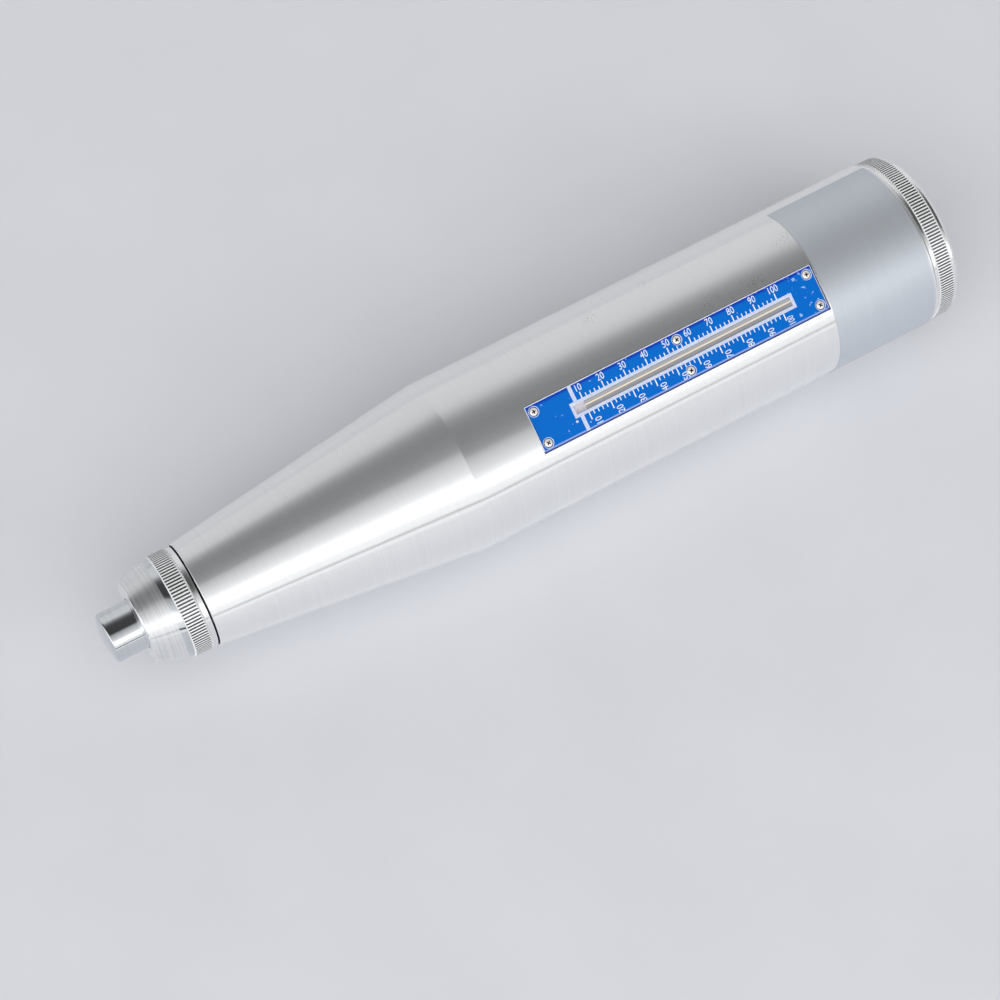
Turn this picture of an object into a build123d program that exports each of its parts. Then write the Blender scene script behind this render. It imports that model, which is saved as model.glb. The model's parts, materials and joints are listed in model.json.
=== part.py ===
"""Concrete rebound hammer, lying on its barrel and its push button.

The axis of the barrel runs along X, the plunger points to -X, and the scale looks up
and 27 degrees towards -Y. Lengths are in millimetres and all pieces are at rest: the
plunger is pushed in to its locked depth and the hammer stands where it strikes.
"""
import os
from math import ceil, cos, pi, radians, sin, sqrt

from build123d import *

os.makedirs("parts", exist_ok=True)

# Overall sizes
BODY_R = 27.0
STROKE = 75.0            # travel of the hammer, and of the plunger from locked to fully out
SPRING_ROOM = 34.2       # from the carriage to the rear cap, when the plunger is locked in
OVERTRAVEL = 3.0         # further travel of the plunger, past the lock
CUSHION = 2.5            # travel of the plunger on the guide bar
ROLL = 27.4              # the scale's normal, turned from +Z towards -Y

# Clearances
FIT = 0.02               # fixed seats, radial
RUN_FIT = 0.08           # sliding seats, radial
END_GAP = 0.3            # end stops and side gaps of moving pieces
FACE_GAP = 0.05          # clamped faces
SEAM_GAP = 0.4           # visible joint lines of the two caps

# Plunger and its front guide
PLUNGER_R = 7.7
PLUNGER_PROUD = 10.9
PLUNGER_DOME_R = 25.0
PLUNGER_EDGE = 0.5
COLLAR_STEP = 1.0
COLLAR_LENGTH = 4.0
BUFFER_SOLID = 9.5       # buffer spring when the cushion is used up
BAR_R = 4.0
BAR_FRONT_IN_PLUNGER = 52.5
SLEEVE_WALL = 1.2
SLEEVE_GUIDE = 3.5
SLEEVE_LIP = 1.3
SLEEVE_FLANGE = 3.0
SLEEVE_FLANGE_STEP = 2.2
SLEEVE_TAIL = 11.0
RING_THICK = 2.0
RING_GROOVE = 0.9
RING_SPLIT = 0.6
FELT_THICK = 3.0
FELT_WIDTH = 3.5

# Housing
WALL = 5.5
NECK_WALL = 3.5
NECK_LENGTH = 8.5
FRONT_STEP = 2.9
CONE_LENGTH = 84.0
SEAT_DEPTH = 16.5
CONE_BORE_STEP = 3.4
CONE_BORE_LENGTH = 64.0
THREAD_STEP = 1.7
THREAD_LENGTH = 12.6
EDGE = 0.4

# Nose cap
NOSE_LENGTH = 18.2
NOSE_BEVEL = 1.9
NOSE_COLLAR = 1.8
NOSE_COLLAR_IN = 0.3
NOSE_KNURL_WIDTH = 5.7
NOSE_KNURL_STEP = 2.6    # knurl over the neck that the cap screws onto
NOSE_FRONT_STEP = 3.3
NOSE_CONE_STEP = 0.8
NOSE_TEETH = 100
KNURL_DEPTH = 0.45
KNURL_CREST = 0.35
KNURL_EDGE = 0.35

# Hammer
HAMMER_GAP = 0.37        # hammer's body under the pointer
HAMMER_BOSS = 7.0
HAMMER_BODY = 37.0
HAMMER_NECK = 4.0
HAMMER_NECK_IN = 2.4     # neck inside the rim
HAMMER_RIM = 3.7
HAMMER_RIM_IN = 3.9      # rim inside the body
HAMMER_EDGE = 0.8

# Springs: wire radius, number of turns
IMPACT_WIRE_R = 1.0
IMPACT_TURNS = 24
IMPACT_SLACK = 0.3
BUFFER_WIRE_R = 0.5
BUFFER_TURNS = 6
BUFFER_R = 3.0
COMPRESSION_WIRE_R = 0.8
COMPRESSION_TURNS = 13
COMPRESSION_IN = 3.0     # middle of the wire inside the carriage's edge
PAWL_WIRE_R = 0.25
PAWL_TURNS = 2.5
PAWL_SPRING_R = 1.5
BUTTON_WIRE_R = 0.25
BUTTON_TURNS = 3.5
BUTTON_SPRING_R = 2.6

# Carriage and pawl
CARRIAGE_THICK = 7.0
CARRIAGE_BAR_STOP = 0.5
CROSS_PIN_R = 1.0
CROSS_PIN_SHORT = 3.7    # cross pin's end, short of the pawl's slot
PAWL_THICK = 3.8
PAWL_HOOK = 3.1
PAWL_BITE = 0.9
PAWL_RAMP = 0.9
PAWL_ARM = 2.5
PAWL_EYE_R = 3.2
PAWL_PIVOT_UP = 1.4      # pivot above the hammer's rim
PAWL_PIN_R = 1.2
PAWL_PIN_LENGTH = 13.0
PAWL_LINK = 1.7
PAWL_TAIL = 2.4
PAWL_TAIL_BACK = 3.6     # from the carriage to the tail
PAWL_TAIL_PAST = 1.5     # tail past the axis
PAWL_SPRING_IN = 4.6     # pawl spring's axis inside the link
PAWL_SLOT_GAP = 0.9

# Rear cap
REAR_RIM = 8.1
REAR_WALL = 7.0
REAR_LIP = 1.0
REAR_KNURL_WIDTH = 5.2
REAR_KNURL_IN = 0.35
REAR_LIP_IN = 0.8
REAR_CHAMFER = 1.0
REAR_TEETH = 168
SPIGOT_WALL = 2.7
RECESS_R = 8.0
RECESS_DEPTH = 4.0
TRIP_R = 2.5
TRIP_BACK = 0.5
TRIP_SLOT = 0.8
TRIP_SLOT_DEPTH = 1.0
NUT_ACROSS = 8.0
NUT_THICK = 3.0

# Scale plate, window and screws
PLATE_WIDTH = 14.8
PLATE_THICK = 1.9
PLATE_SINK = 0.1         # plate's face under the barrel's surface at its long edges
PLATE_CLEAR = 0.15
PLATE_BACK_OF_HAMMER = 11.8
SLOT_SHORT = 0.45        # slot shorter than the stroke
SLOT_WIDTH = 2.8
SLOT_FROM_PLATE = 13.75
PLATE_PAST_SLOT = 10.2
WINDOW_THICK = 0.9
WINDOW_LAP = 3.8
WINDOW_WIDTH = 7.4
WINDOW_SINK = 0.2        # top of the window's land under the face of the plate
SCREW_R = 0.8
SCREW_HEAD_R = 1.25
SCREW_HEAD = 0.7
SCREW_SINK = 0.6
SCREW_BORE_R = 1.5
SCREW_LENGTH = 3.4
SCREW_FROM_END = 2.3
SCREW_MIDDLE_BACK = 1.7  # middle pair behind the plate's middle
SCREW_ACROSS = 10.06
CROSS_LENGTH = 1.5
CROSS_WIDTH = 0.36
CROSS_DEPTH = 0.45

# Pointer
POINTER_SLOT_WIDTH = 5.8
POINTER_WIDTH = 5.2
POINTER_HEIGHT = 3.0
RIDER_LENGTH = 8.0
RIDER_FROM_SLOT = 3.65   # rider's front end, hidden under the plate ahead of the slot
ROD_R = 0.9
ROD_DOWN = 1.4           # rod's axis under the rider's top
SUPPORT_LENGTH = 4.0
POINTER_SHORT = 4.3      # pointer's travel shorter than the stroke
INDEX_WIDTH = 0.5
INDEX_DEPTH = 0.25
LEAF_LENGTH = 5.0
LEAF_WIDTH = 2.0
LEAF_THICK = 0.25

# Push button
BUTTON_R = 5.0
BUTTON_DOME_R = 8.0
BUTTON_FLANGE = 0.7
BUTTON_FLANGE_STEP = 0.6
BUTTON_TRAVEL = 2.0
BUSH_WALL = 1.3
BUSH_FLOOR = 0.75
BUSH_SINK = 1.0
BUSH_LIP = 0.9
LOCK_PIN_R = 1.5
LOCK_HOLE_GAP = 0.4
LOCK_CROWN = 1.6         # button's crown over the lock pin
BUTTON_RECESS_R = 3.4
BUTTON_RECESS = 2.2

# Label
LABEL_THICK = 0.12
LABEL_FROM_PLATE = 0.6
LABEL_FROM_REAR = 0.8
LABEL_START = -42.0
LABEL_SPAN = 170.0

# Planes: the axis lies BODY_R above the floor
AXIS_Z = BODY_R
CENTRE = (0, 0, AXIS_Z)
NORMAL = Vector(0, -sin(radians(ROLL)), cos(radians(ROLL)))
SIDE = Vector(0, cos(radians(ROLL)), sin(radians(ROLL)))
AXIS = Axis(CENTRE, (1, 0, 0))
PROFILE = Plane(origin=CENTRE, x_dir=(1, 0, 0), z_dir=(0, -1, 0))
SCALE = Plane(origin=CENTRE, x_dir=(1, 0, 0), z_dir=NORMAL)
BUTTON = Plane(origin=CENTRE, x_dir=(1, 0, 0), z_dir=NORMAL * -1)
SIDEWAYS = Plane(origin=CENTRE, x_dir=(1, 0, 0), z_dir=SIDE)

# Overall length: front guide, two strokes, hammer, carriage, spring and rear wall
GUIDE_LENGTH = PLUNGER_PROUD + NOSE_LENGTH + SEAM_GAP - NECK_LENGTH - RING_THICK - SLEEVE_LIP + SLEEVE_GUIDE
HAMMER_LENGTH = HAMMER_BOSS + HAMMER_BODY + HAMMER_NECK + HAMMER_RIM
TRAVEL_LENGTH = 2 * STROKE + OVERTRAVEL + 3 * END_GAP
PIECES_LENGTH = COLLAR_LENGTH + HAMMER_LENGTH + CARRIAGE_THICK
TOTAL_LENGTH = GUIDE_LENGTH + TRAVEL_LENGTH + PIECES_LENGTH + SPRING_ROOM + REAR_WALL

# Stations along X, from the tip to the rear
TIP_X = -TOTAL_LENGTH / 2
REAR_X = TOTAL_LENGTH / 2
NOSE_FACE_X = TIP_X + PLUNGER_PROUD
NOSE_REAR_X = NOSE_FACE_X + NOSE_LENGTH
NOSE_KNURL_X = NOSE_REAR_X - NOSE_COLLAR - NOSE_KNURL_WIDTH
FRONT_X = NOSE_REAR_X + SEAM_GAP
SHOULDER_X = FRONT_X + CONE_LENGTH
NECK_X = FRONT_X - NECK_LENGTH
RING_X = NECK_X - RING_THICK
SLEEVE_X = RING_X - SLEEVE_LIP
SLEEVE_STEP_X = SLEEVE_X + SLEEVE_GUIDE
SEAT_X = FRONT_X + SEAT_DEPTH
SLEEVE_FLANGE_X = SEAT_X + SLEEVE_FLANGE
SLEEVE_REAR_X = SLEEVE_FLANGE_X + SLEEVE_TAIL
FELT_X = SLEEVE_X - END_GAP - FELT_THICK
COLLAR_X = SLEEVE_STEP_X + STROKE + END_GAP
PLUNGER_REAR_X = COLLAR_X + COLLAR_LENGTH
BAR_FRONT_X = PLUNGER_REAR_X - BAR_FRONT_IN_PLUNGER
PLUNGER_BORE_X = BAR_FRONT_X - BUFFER_SOLID - CUSHION
HAMMER_X = PLUNGER_REAR_X + OVERTRAVEL + END_GAP
BOSS_X = HAMMER_X + HAMMER_BOSS
BODY_REAR_X = BOSS_X + HAMMER_BODY
RIM_X = BODY_REAR_X + HAMMER_NECK
HAMMER_REAR_X = HAMMER_X + HAMMER_LENGTH
CARRIAGE_X = HAMMER_REAR_X + STROKE + END_GAP
CARRIAGE_REAR_X = CARRIAGE_X + CARRIAGE_THICK
CARRIAGE_MID_X = CARRIAGE_X + CARRIAGE_THICK / 2
HOUSING_REAR_X = REAR_X - REAR_RIM - SEAM_GAP
REAR_LIP_X = REAR_X - REAR_RIM
REAR_KNURL_X = REAR_LIP_X + REAR_LIP
REAR_WALL_X = REAR_X - REAR_WALL
TAIL_X = CARRIAGE_REAR_X + PAWL_TAIL_BACK
TRIP_X = TAIL_X + PAWL_TAIL + OVERTRAVEL + END_GAP
RECESS_X = REAR_X - RECESS_DEPTH

# Radii of what fits round the plunger, from the inside out
COLLAR_R = PLUNGER_R + COLLAR_STEP
SLEEVE_BORE_R = COLLAR_R + RUN_FIT
SLEEVE_R = SLEEVE_BORE_R + SLEEVE_WALL
IMPACT_R = SLEEVE_R + IMPACT_SLACK + IMPACT_WIRE_R
NECK_R = SLEEVE_R + FIT + NECK_WALL
FRONT_R = NECK_R + FRONT_STEP
NOSE_KNURL_R = NECK_R + NOSE_KNURL_STEP
NOSE_FRONT_R = NOSE_KNURL_R - NOSE_FRONT_STEP
NOSE_CONE_R = NOSE_KNURL_R - NOSE_CONE_STEP
BORE_R = BODY_R - WALL
CARRIAGE_R = BORE_R - END_GAP
COMPRESSION_R = CARRIAGE_R - COMPRESSION_IN
THREAD_R = BORE_R + THREAD_STEP
SPIGOT_R = THREAD_R - RUN_FIT

# Heights along the scale's normal, from the outside in
PLATE_TOP_H = sqrt(BODY_R**2 - (PLATE_WIDTH / 2) ** 2) - PLATE_SINK
PLATE_H = PLATE_TOP_H - PLATE_THICK
POCKET_H = PLATE_H - FACE_GAP
WINDOW_SEAT_H = POCKET_H - WINDOW_THICK - FACE_GAP
POINTER_TOP_H = WINDOW_SEAT_H - END_GAP
POINTER_H = POINTER_TOP_H - POINTER_HEIGHT
ROD_H = POINTER_TOP_H - ROD_DOWN

# The hammer runs under the pointer
HAMMER_R = POINTER_H - HAMMER_GAP
HAMMER_RIM_R = HAMMER_R - HAMMER_RIM_IN
HAMMER_NECK_R = HAMMER_RIM_R - HAMMER_NECK_IN

# Places on the scale: it is as long as the stroke, and starts over the hammer
SLOT_LENGTH = STROKE - SLOT_SHORT
POINTER_TRAVEL = STROKE - POINTER_SHORT
PLATE_LENGTH = SLOT_FROM_PLATE + SLOT_LENGTH + PLATE_PAST_SLOT
PLATE_X = BODY_REAR_X - PLATE_BACK_OF_HAMMER
PLATE_MID_X = PLATE_X + PLATE_LENGTH / 2
SLOT_X = PLATE_X + SLOT_FROM_PLATE
SLOT_MID_X = SLOT_X + SLOT_LENGTH / 2
WINDOW_LENGTH = SLOT_LENGTH + 2 * WINDOW_LAP
RIDER_X = SLOT_X - RIDER_FROM_SLOT
SUPPORT_X = RIDER_X - END_GAP - SUPPORT_LENGTH
SUPPORT_REAR_X = RIDER_X + RIDER_LENGTH + POINTER_TRAVEL + END_GAP
POINTER_SLOT_LENGTH = SUPPORT_REAR_X + SUPPORT_LENGTH - SUPPORT_X + 2 * FIT
POINTER_SLOT_MID_X = (SUPPORT_X + SUPPORT_REAR_X + SUPPORT_LENGTH) / 2
SCREW_STATIONS = [
    PLATE_X + SCREW_FROM_END,
    PLATE_MID_X + SCREW_MIDDLE_BACK,
    PLATE_X + PLATE_LENGTH - SCREW_FROM_END,
]
SCREW_SPOTS = [(x, across * SCREW_ACROSS / 2) for x in SCREW_STATIONS for across in (-1, 1)]

# The button's dome rests on the floor beside the barrel
DOME_H = (BODY_R - BUTTON_DOME_R) / cos(radians(ROLL))
BUTTON_TOP_H = DOME_H + BUTTON_DOME_R - FACE_GAP
BUSH_TOP_H = BODY_R - BUSH_SINK
FLANGE_TOP_H = BUSH_TOP_H - BUSH_LIP - FACE_GAP
FLANGE_H = FLANGE_TOP_H - BUTTON_FLANGE
BUSH_H = BORE_R + FACE_GAP
BUSH_FLOOR_H = BUSH_H + BUSH_FLOOR
BUSH_CHAMBER_R = BUTTON_R + BUTTON_FLANGE_STEP + RUN_FIT
BUSH_R = BUSH_CHAMBER_R + BUSH_WALL
LOCK_TIP_H = CARRIAGE_R + END_GAP
LOCK_HEAD_H = BUTTON_TOP_H - LOCK_CROWN
LOCK_HOLE_DEPTH = BUTTON_TRAVEL + END_GAP
SPRING_TOP_H = FLANGE_H + BUTTON_RECESS


def turned(*points):
    """Half profile of a turned piece, as (x, radius) corners."""
    with BuildSketch(PROFILE) as profile:
        with BuildLine():
            Polyline(*points, close=True)
        make_face()
    return profile.sketch


def cross_plane(x):
    """Plane square to the barrel's axis, at a station along it."""
    return Plane(origin=(x, 0, AXIS_Z), x_dir=SIDE, z_dir=(1, 0, 0))


def knurl_outline(radius, teeth):
    """Corners of a ring of straight teeth, crests a little outside the radius."""
    corners = []
    for step in range(2 * teeth):
        reach = radius + KNURL_CREST if step % 2 == 0 else radius - KNURL_DEPTH
        angle = pi * step / teeth
        corners.append((reach * cos(angle), reach * sin(angle)))
    return corners


def coil_path(base, radius, pitch, turns):
    """Wire of a helix about the plane's normal, a biarc for each half turn."""
    rise = pitch / (2 * pi)

    def place(angle):
        spoke = base.x_dir * cos(angle) + base.y_dir * sin(angle)
        return base.origin + spoke * radius + base.z_dir * (rise * angle)

    def heading(angle):
        round_way = base.y_dir * cos(angle) - base.x_dir * sin(angle)
        return (round_way * radius + base.z_dir * rise).normalized()

    halves = ceil(2 * turns)
    step = 2 * pi * turns / halves
    with BuildLine() as path:
        for half in range(halves):
            start, end = place(half * step), place((half + 1) * step)
            leave, arrive = heading(half * step), heading((half + 1) * step)
            chord = end - start
            spread = 2 * (1 - leave.dot(arrive))
            lean = chord.dot(leave + arrive)
            reach = (sqrt(lean**2 + spread * chord.dot(chord)) - lean) / spread
            middle = (start + end + (leave - arrive) * reach) * 0.5
            turn = (end - start - (leave + arrive) * reach).normalized()
            TangentArc(start, middle, tangent=leave)
            TangentArc(middle, end, tangent=turn)
    return path.wire()


def coil_gap(path, wire_r, turns, per_turn=24):
    """Least gap between a coil's turns, measured on points along its wire."""
    count = ceil(turns * per_turn)
    points = [path @ (i / count) for i in range(count + 1)]
    apart = per_turn // 2
    return min(
        (a - b).length
        for i, a in enumerate(points)
        for b in points[i + apart: i + 2 * per_turn]
    ) - 2 * wire_r


def coil_section(path):
    """Plane square to the start of a wire."""
    return Plane(origin=path @ 0, z_dir=path % 0)


def along_x(x, across=0.0):
    """Plane for a coil that runs along X, beside the axis by a distance sideways."""
    spot = Vector(x, 0, AXIS_Z) + SIDE * across
    return Plane(origin=spot, x_dir=SIDE, z_dir=(1, 0, 0))


# Housing: barrel, taper and threaded neck, with the pocket of the scale
with BuildPart() as housing:
    cone_bore_r = SLEEVE_R + CONE_BORE_STEP
    cone_end_x = SEAT_X + CONE_BORE_LENGTH
    revolve(
        turned(
            (NECK_X, SLEEVE_R + FIT),
            (NECK_X, NECK_R),
            (FRONT_X, NECK_R),
            (FRONT_X, FRONT_R - EDGE),
            (FRONT_X + EDGE, FRONT_R),
            (SHOULDER_X, BODY_R),
            (HOUSING_REAR_X - EDGE, BODY_R),
            (HOUSING_REAR_X, BODY_R - EDGE),
            (HOUSING_REAR_X, THREAD_R),
            (HOUSING_REAR_X - THREAD_LENGTH, THREAD_R),
            (HOUSING_REAR_X - THREAD_LENGTH, BORE_R),
            (cone_end_x, BORE_R),
            (SEAT_X, cone_bore_r),
            (SEAT_X, SLEEVE_R + FIT),
        ),
        axis=AXIS,
    )
    with BuildSketch(SCALE.offset(POCKET_H)):
        with Locations((PLATE_MID_X, 0)):
            Rectangle(PLATE_LENGTH + 2 * PLATE_CLEAR, PLATE_WIDTH + 2 * PLATE_CLEAR)
    extrude(amount=BODY_R, mode=Mode.SUBTRACT)
    with BuildSketch(SCALE.offset(WINDOW_SEAT_H)):
        with Locations((SLOT_MID_X, 0)):
            Rectangle(WINDOW_LENGTH + 2 * FIT, WINDOW_WIDTH + 2 * FIT)
    extrude(amount=BODY_R, mode=Mode.SUBTRACT)
    with BuildSketch(SCALE.offset(POINTER_H)):
        with Locations((POINTER_SLOT_MID_X, 0)):
            Rectangle(POINTER_SLOT_LENGTH, POINTER_SLOT_WIDTH)
    extrude(amount=WINDOW_SEAT_H - POINTER_H, mode=Mode.SUBTRACT)
    with BuildSketch(SCALE.offset(PLATE_TOP_H - SCREW_SINK - SCREW_LENGTH - END_GAP)):
        with Locations(*SCREW_SPOTS):
            Circle(SCREW_R + FIT)
    extrude(amount=SCREW_LENGTH, mode=Mode.SUBTRACT)
    with BuildSketch(BUTTON):
        with Locations((CARRIAGE_MID_X, 0)):
            Circle(BUSH_R + FIT)
    extrude(amount=2 * BODY_R, mode=Mode.SUBTRACT)
housing.part.label = "housing"
export_step(housing.part, "parts/housing.step")

# Nose cap: turned cone, bevel, knurled ring and plain collar, screwed over the neck
with BuildPart() as nose_cap:
    thread_r = NECK_R + RUN_FIT
    felt_room_r = PLUNGER_R + RUN_FIT + FELT_WIDTH + FIT
    collar_r = NOSE_KNURL_R - NOSE_COLLAR_IN
    revolve(
        turned(
            (NOSE_FACE_X, PLUNGER_R + END_GAP),
            (NOSE_FACE_X, NOSE_FRONT_R - EDGE),
            (NOSE_FACE_X + EDGE, NOSE_FRONT_R),
            (NOSE_KNURL_X - NOSE_BEVEL, NOSE_CONE_R),
            (NOSE_KNURL_X, NOSE_KNURL_R - KNURL_EDGE),
            (NOSE_KNURL_X + KNURL_EDGE, NOSE_KNURL_R),
            (NOSE_KNURL_X + NOSE_KNURL_WIDTH - KNURL_EDGE, NOSE_KNURL_R),
            (NOSE_KNURL_X + NOSE_KNURL_WIDTH, NOSE_KNURL_R - KNURL_EDGE),
            (NOSE_KNURL_X + NOSE_KNURL_WIDTH, collar_r),
            (NOSE_REAR_X - EDGE / 2, collar_r),
            (NOSE_REAR_X, collar_r - EDGE / 2),
            (NOSE_REAR_X, thread_r),
            (RING_X - FACE_GAP, thread_r),
            (RING_X - FACE_GAP, felt_room_r),
            (FELT_X - FACE_GAP, felt_room_r),
            (FELT_X - FACE_GAP, PLUNGER_R + END_GAP),
        ),
        axis=AXIS,
    )
    with BuildSketch(cross_plane(NOSE_KNURL_X)):
        Circle(NOSE_KNURL_R + 2 * KNURL_CREST)
        Polygon(*knurl_outline(NOSE_KNURL_R, NOSE_TEETH), align=None, mode=Mode.SUBTRACT)
    extrude(amount=NOSE_KNURL_WIDTH, mode=Mode.SUBTRACT)
nose_cap.part.label = "nose_cap"
export_step(nose_cap.part, "parts/nose_cap.step")

# Felt seal round the plunger
with BuildPart() as felt_seal:
    felt_in_r = PLUNGER_R + RUN_FIT
    revolve(
        turned(
            (FELT_X, felt_in_r),
            (FELT_X, felt_in_r + FELT_WIDTH),
            (FELT_X + FELT_THICK, felt_in_r + FELT_WIDTH),
            (FELT_X + FELT_THICK, felt_in_r),
        ),
        axis=AXIS,
    )
felt_seal.part.label = "felt_seal"
export_step(felt_seal.part, "parts/felt_seal.step")

# Retaining ring: two halves in the sleeve's groove, clamped between neck and nose cap
with BuildPart() as retaining_ring:
    ring_in_r = SLEEVE_R - RING_GROOVE + RUN_FIT
    ring_out_r = NECK_R - RUN_FIT
    revolve(
        turned(
            (RING_X, ring_in_r),
            (RING_X, ring_out_r),
            (NECK_X - FACE_GAP, ring_out_r),
            (NECK_X - FACE_GAP, ring_in_r),
        ),
        axis=AXIS,
    )
    with BuildSketch(cross_plane(RING_X)):
        Rectangle(RING_SPLIT, 2 * NECK_R)
    extrude(amount=RING_THICK, mode=Mode.SUBTRACT)
retaining_ring.part.label = "retaining_ring"
export_step(retaining_ring.part, "parts/retaining_ring.step")

# Guide sleeve: guides the plunger, and its tail carries the front of the impact spring
with BuildPart() as guide_sleeve:
    revolve(
        turned(
            (SLEEVE_X, PLUNGER_R + RUN_FIT),
            (SLEEVE_X, SLEEVE_R),
            (RING_X - FACE_GAP, SLEEVE_R),
            (RING_X - FACE_GAP, SLEEVE_R - RING_GROOVE),
            (NECK_X, SLEEVE_R - RING_GROOVE),
            (NECK_X, SLEEVE_R),
            (SEAT_X + FACE_GAP, SLEEVE_R),
            (SEAT_X + FACE_GAP, SLEEVE_R + SLEEVE_FLANGE_STEP),
            (SLEEVE_FLANGE_X, SLEEVE_R + SLEEVE_FLANGE_STEP),
            (SLEEVE_FLANGE_X, SLEEVE_R),
            (SLEEVE_REAR_X, SLEEVE_R),
            (SLEEVE_REAR_X, SLEEVE_BORE_R),
            (SLEEVE_STEP_X, SLEEVE_BORE_R),
            (SLEEVE_STEP_X, PLUNGER_R + RUN_FIT),
        ),
        axis=AXIS,
    )
guide_sleeve.part.label = "guide_sleeve"
export_step(guide_sleeve.part, "parts/guide_sleeve.step")

# Plunger: domed tip, plain shank, rear collar that stops it in the sleeve
with BuildPart() as plunger:
    face_r = PLUNGER_R - PLUNGER_EDGE
    dome_depth = PLUNGER_DOME_R - sqrt(PLUNGER_DOME_R**2 - face_r**2)
    half_depth = PLUNGER_DOME_R - sqrt(PLUNGER_DOME_R**2 - (face_r / 2) ** 2)
    bar_bore_r = BAR_R + RUN_FIT
    with BuildSketch(PROFILE):
        with BuildLine():
            ThreePointArc(
                (TIP_X, 0),
                (TIP_X + half_depth, face_r / 2),
                (TIP_X + dome_depth, face_r),
            )
            Polyline(
                (TIP_X + dome_depth, face_r),
                (TIP_X + dome_depth + PLUNGER_EDGE, PLUNGER_R),
                (COLLAR_X, PLUNGER_R),
                (COLLAR_X, COLLAR_R),
                (PLUNGER_REAR_X - EDGE, COLLAR_R),
                (PLUNGER_REAR_X, COLLAR_R - EDGE),
                (PLUNGER_REAR_X, bar_bore_r),
                (PLUNGER_BORE_X, bar_bore_r),
                (PLUNGER_BORE_X, 0),
                (TIP_X, 0),
            )
        make_face()
    revolve(axis=AXIS)
plunger.part.label = "plunger"
export_step(plunger.part, "parts/plunger.step")

# Impact spring: from the sleeve's flange to the front of the hammer's body
with BuildPart() as impact_spring:
    impact_start = SLEEVE_FLANGE_X + END_GAP + IMPACT_WIRE_R
    impact_end = BOSS_X - END_GAP - IMPACT_WIRE_R
    impact_pitch = (impact_end - impact_start) / IMPACT_TURNS
    impact_path = coil_path(along_x(impact_start), IMPACT_R, impact_pitch, IMPACT_TURNS)
    with BuildSketch(coil_section(impact_path)):
        Circle(IMPACT_WIRE_R)
    sweep(path=impact_path)
impact_spring.part.label = "impact_spring"
export_step(impact_spring.part, "parts/impact_spring.step")
print("impact spring gap", round(coil_gap(impact_path, IMPACT_WIRE_R, IMPACT_TURNS), 2))

# Hammer: front boss inside the spring, body, and the rear rim that the pawl hooks
with BuildPart() as hammer_mass:
    revolve(
        turned(
            (HAMMER_X, BAR_R + RUN_FIT),
            (HAMMER_X, SLEEVE_R - EDGE),
            (HAMMER_X + EDGE, SLEEVE_R),
            (BOSS_X, SLEEVE_R),
            (BOSS_X, HAMMER_R - HAMMER_EDGE),
            (BOSS_X + HAMMER_EDGE, HAMMER_R),
            (BODY_REAR_X - EDGE, HAMMER_R),
            (BODY_REAR_X, HAMMER_R - EDGE),
            (BODY_REAR_X, HAMMER_NECK_R),
            (RIM_X, HAMMER_NECK_R),
            (RIM_X, HAMMER_RIM_R),
            (HAMMER_REAR_X - HAMMER_EDGE, HAMMER_RIM_R),
            (HAMMER_REAR_X, HAMMER_RIM_R - HAMMER_EDGE),
            (HAMMER_REAR_X, BAR_R + RUN_FIT),
        ),
        axis=AXIS,
    )
hammer_mass.part.label = "hammer_mass"
export_step(hammer_mass.part, "parts/hammer_mass.step")

# Guide bar: runs inside the plunger and through the hammer to the carriage
with BuildPart() as guide_bar:
    bar_rear_x = CARRIAGE_REAR_X - CARRIAGE_BAR_STOP
    revolve(
        turned(
            (BAR_FRONT_X, 0),
            (BAR_FRONT_X, BAR_R - EDGE),
            (BAR_FRONT_X + EDGE, BAR_R),
            (bar_rear_x, BAR_R),
            (bar_rear_x, 0),
        ),
        axis=AXIS,
    )
    with BuildSketch(SIDEWAYS):
        with Locations((CARRIAGE_MID_X, 0)):
            Circle(CROSS_PIN_R + FIT)
    extrude(amount=2 * BAR_R, both=True, mode=Mode.SUBTRACT)
guide_bar.part.label = "guide_bar"
export_step(guide_bar.part, "parts/guide_bar.step")

# Buffer spring: in the plunger's bore, ahead of the guide bar
with BuildPart() as buffer_spring:
    buffer_start = PLUNGER_BORE_X + END_GAP + BUFFER_WIRE_R
    buffer_end = BAR_FRONT_X - END_GAP - BUFFER_WIRE_R
    buffer_pitch = (buffer_end - buffer_start) / BUFFER_TURNS
    buffer_path = coil_path(along_x(buffer_start), BUFFER_R, buffer_pitch, BUFFER_TURNS)
    with BuildSketch(coil_section(buffer_path)):
        Circle(BUFFER_WIRE_R)
    sweep(path=buffer_path)
buffer_spring.part.label = "buffer_spring"
export_step(buffer_spring.part, "parts/buffer_spring.step")
print("buffer spring gap", round(coil_gap(buffer_path, BUFFER_WIRE_R, BUFFER_TURNS), 2))

# Pawl geometry: sideways distances from the axis, in the plane of the pawl
PIVOT_X = CARRIAGE_MID_X
PIVOT_W = HAMMER_RIM_R + PAWL_PIVOT_UP
ARM_W = HAMMER_RIM_R + END_GAP
HOOK_W = HAMMER_RIM_R - PAWL_BITE
HOOK_REAR_X = RIM_X + STROKE - END_GAP
HOOK_X = HOOK_REAR_X - PAWL_HOOK
LINK_W = PIVOT_W - PAWL_EYE_R
PAWL_SLOT_W = LINK_W - PAWL_SLOT_GAP
PAWL_SPRING_W = LINK_W - PAWL_SPRING_IN
CROSS_PIN_W = PAWL_SLOT_W - CROSS_PIN_SHORT

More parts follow.
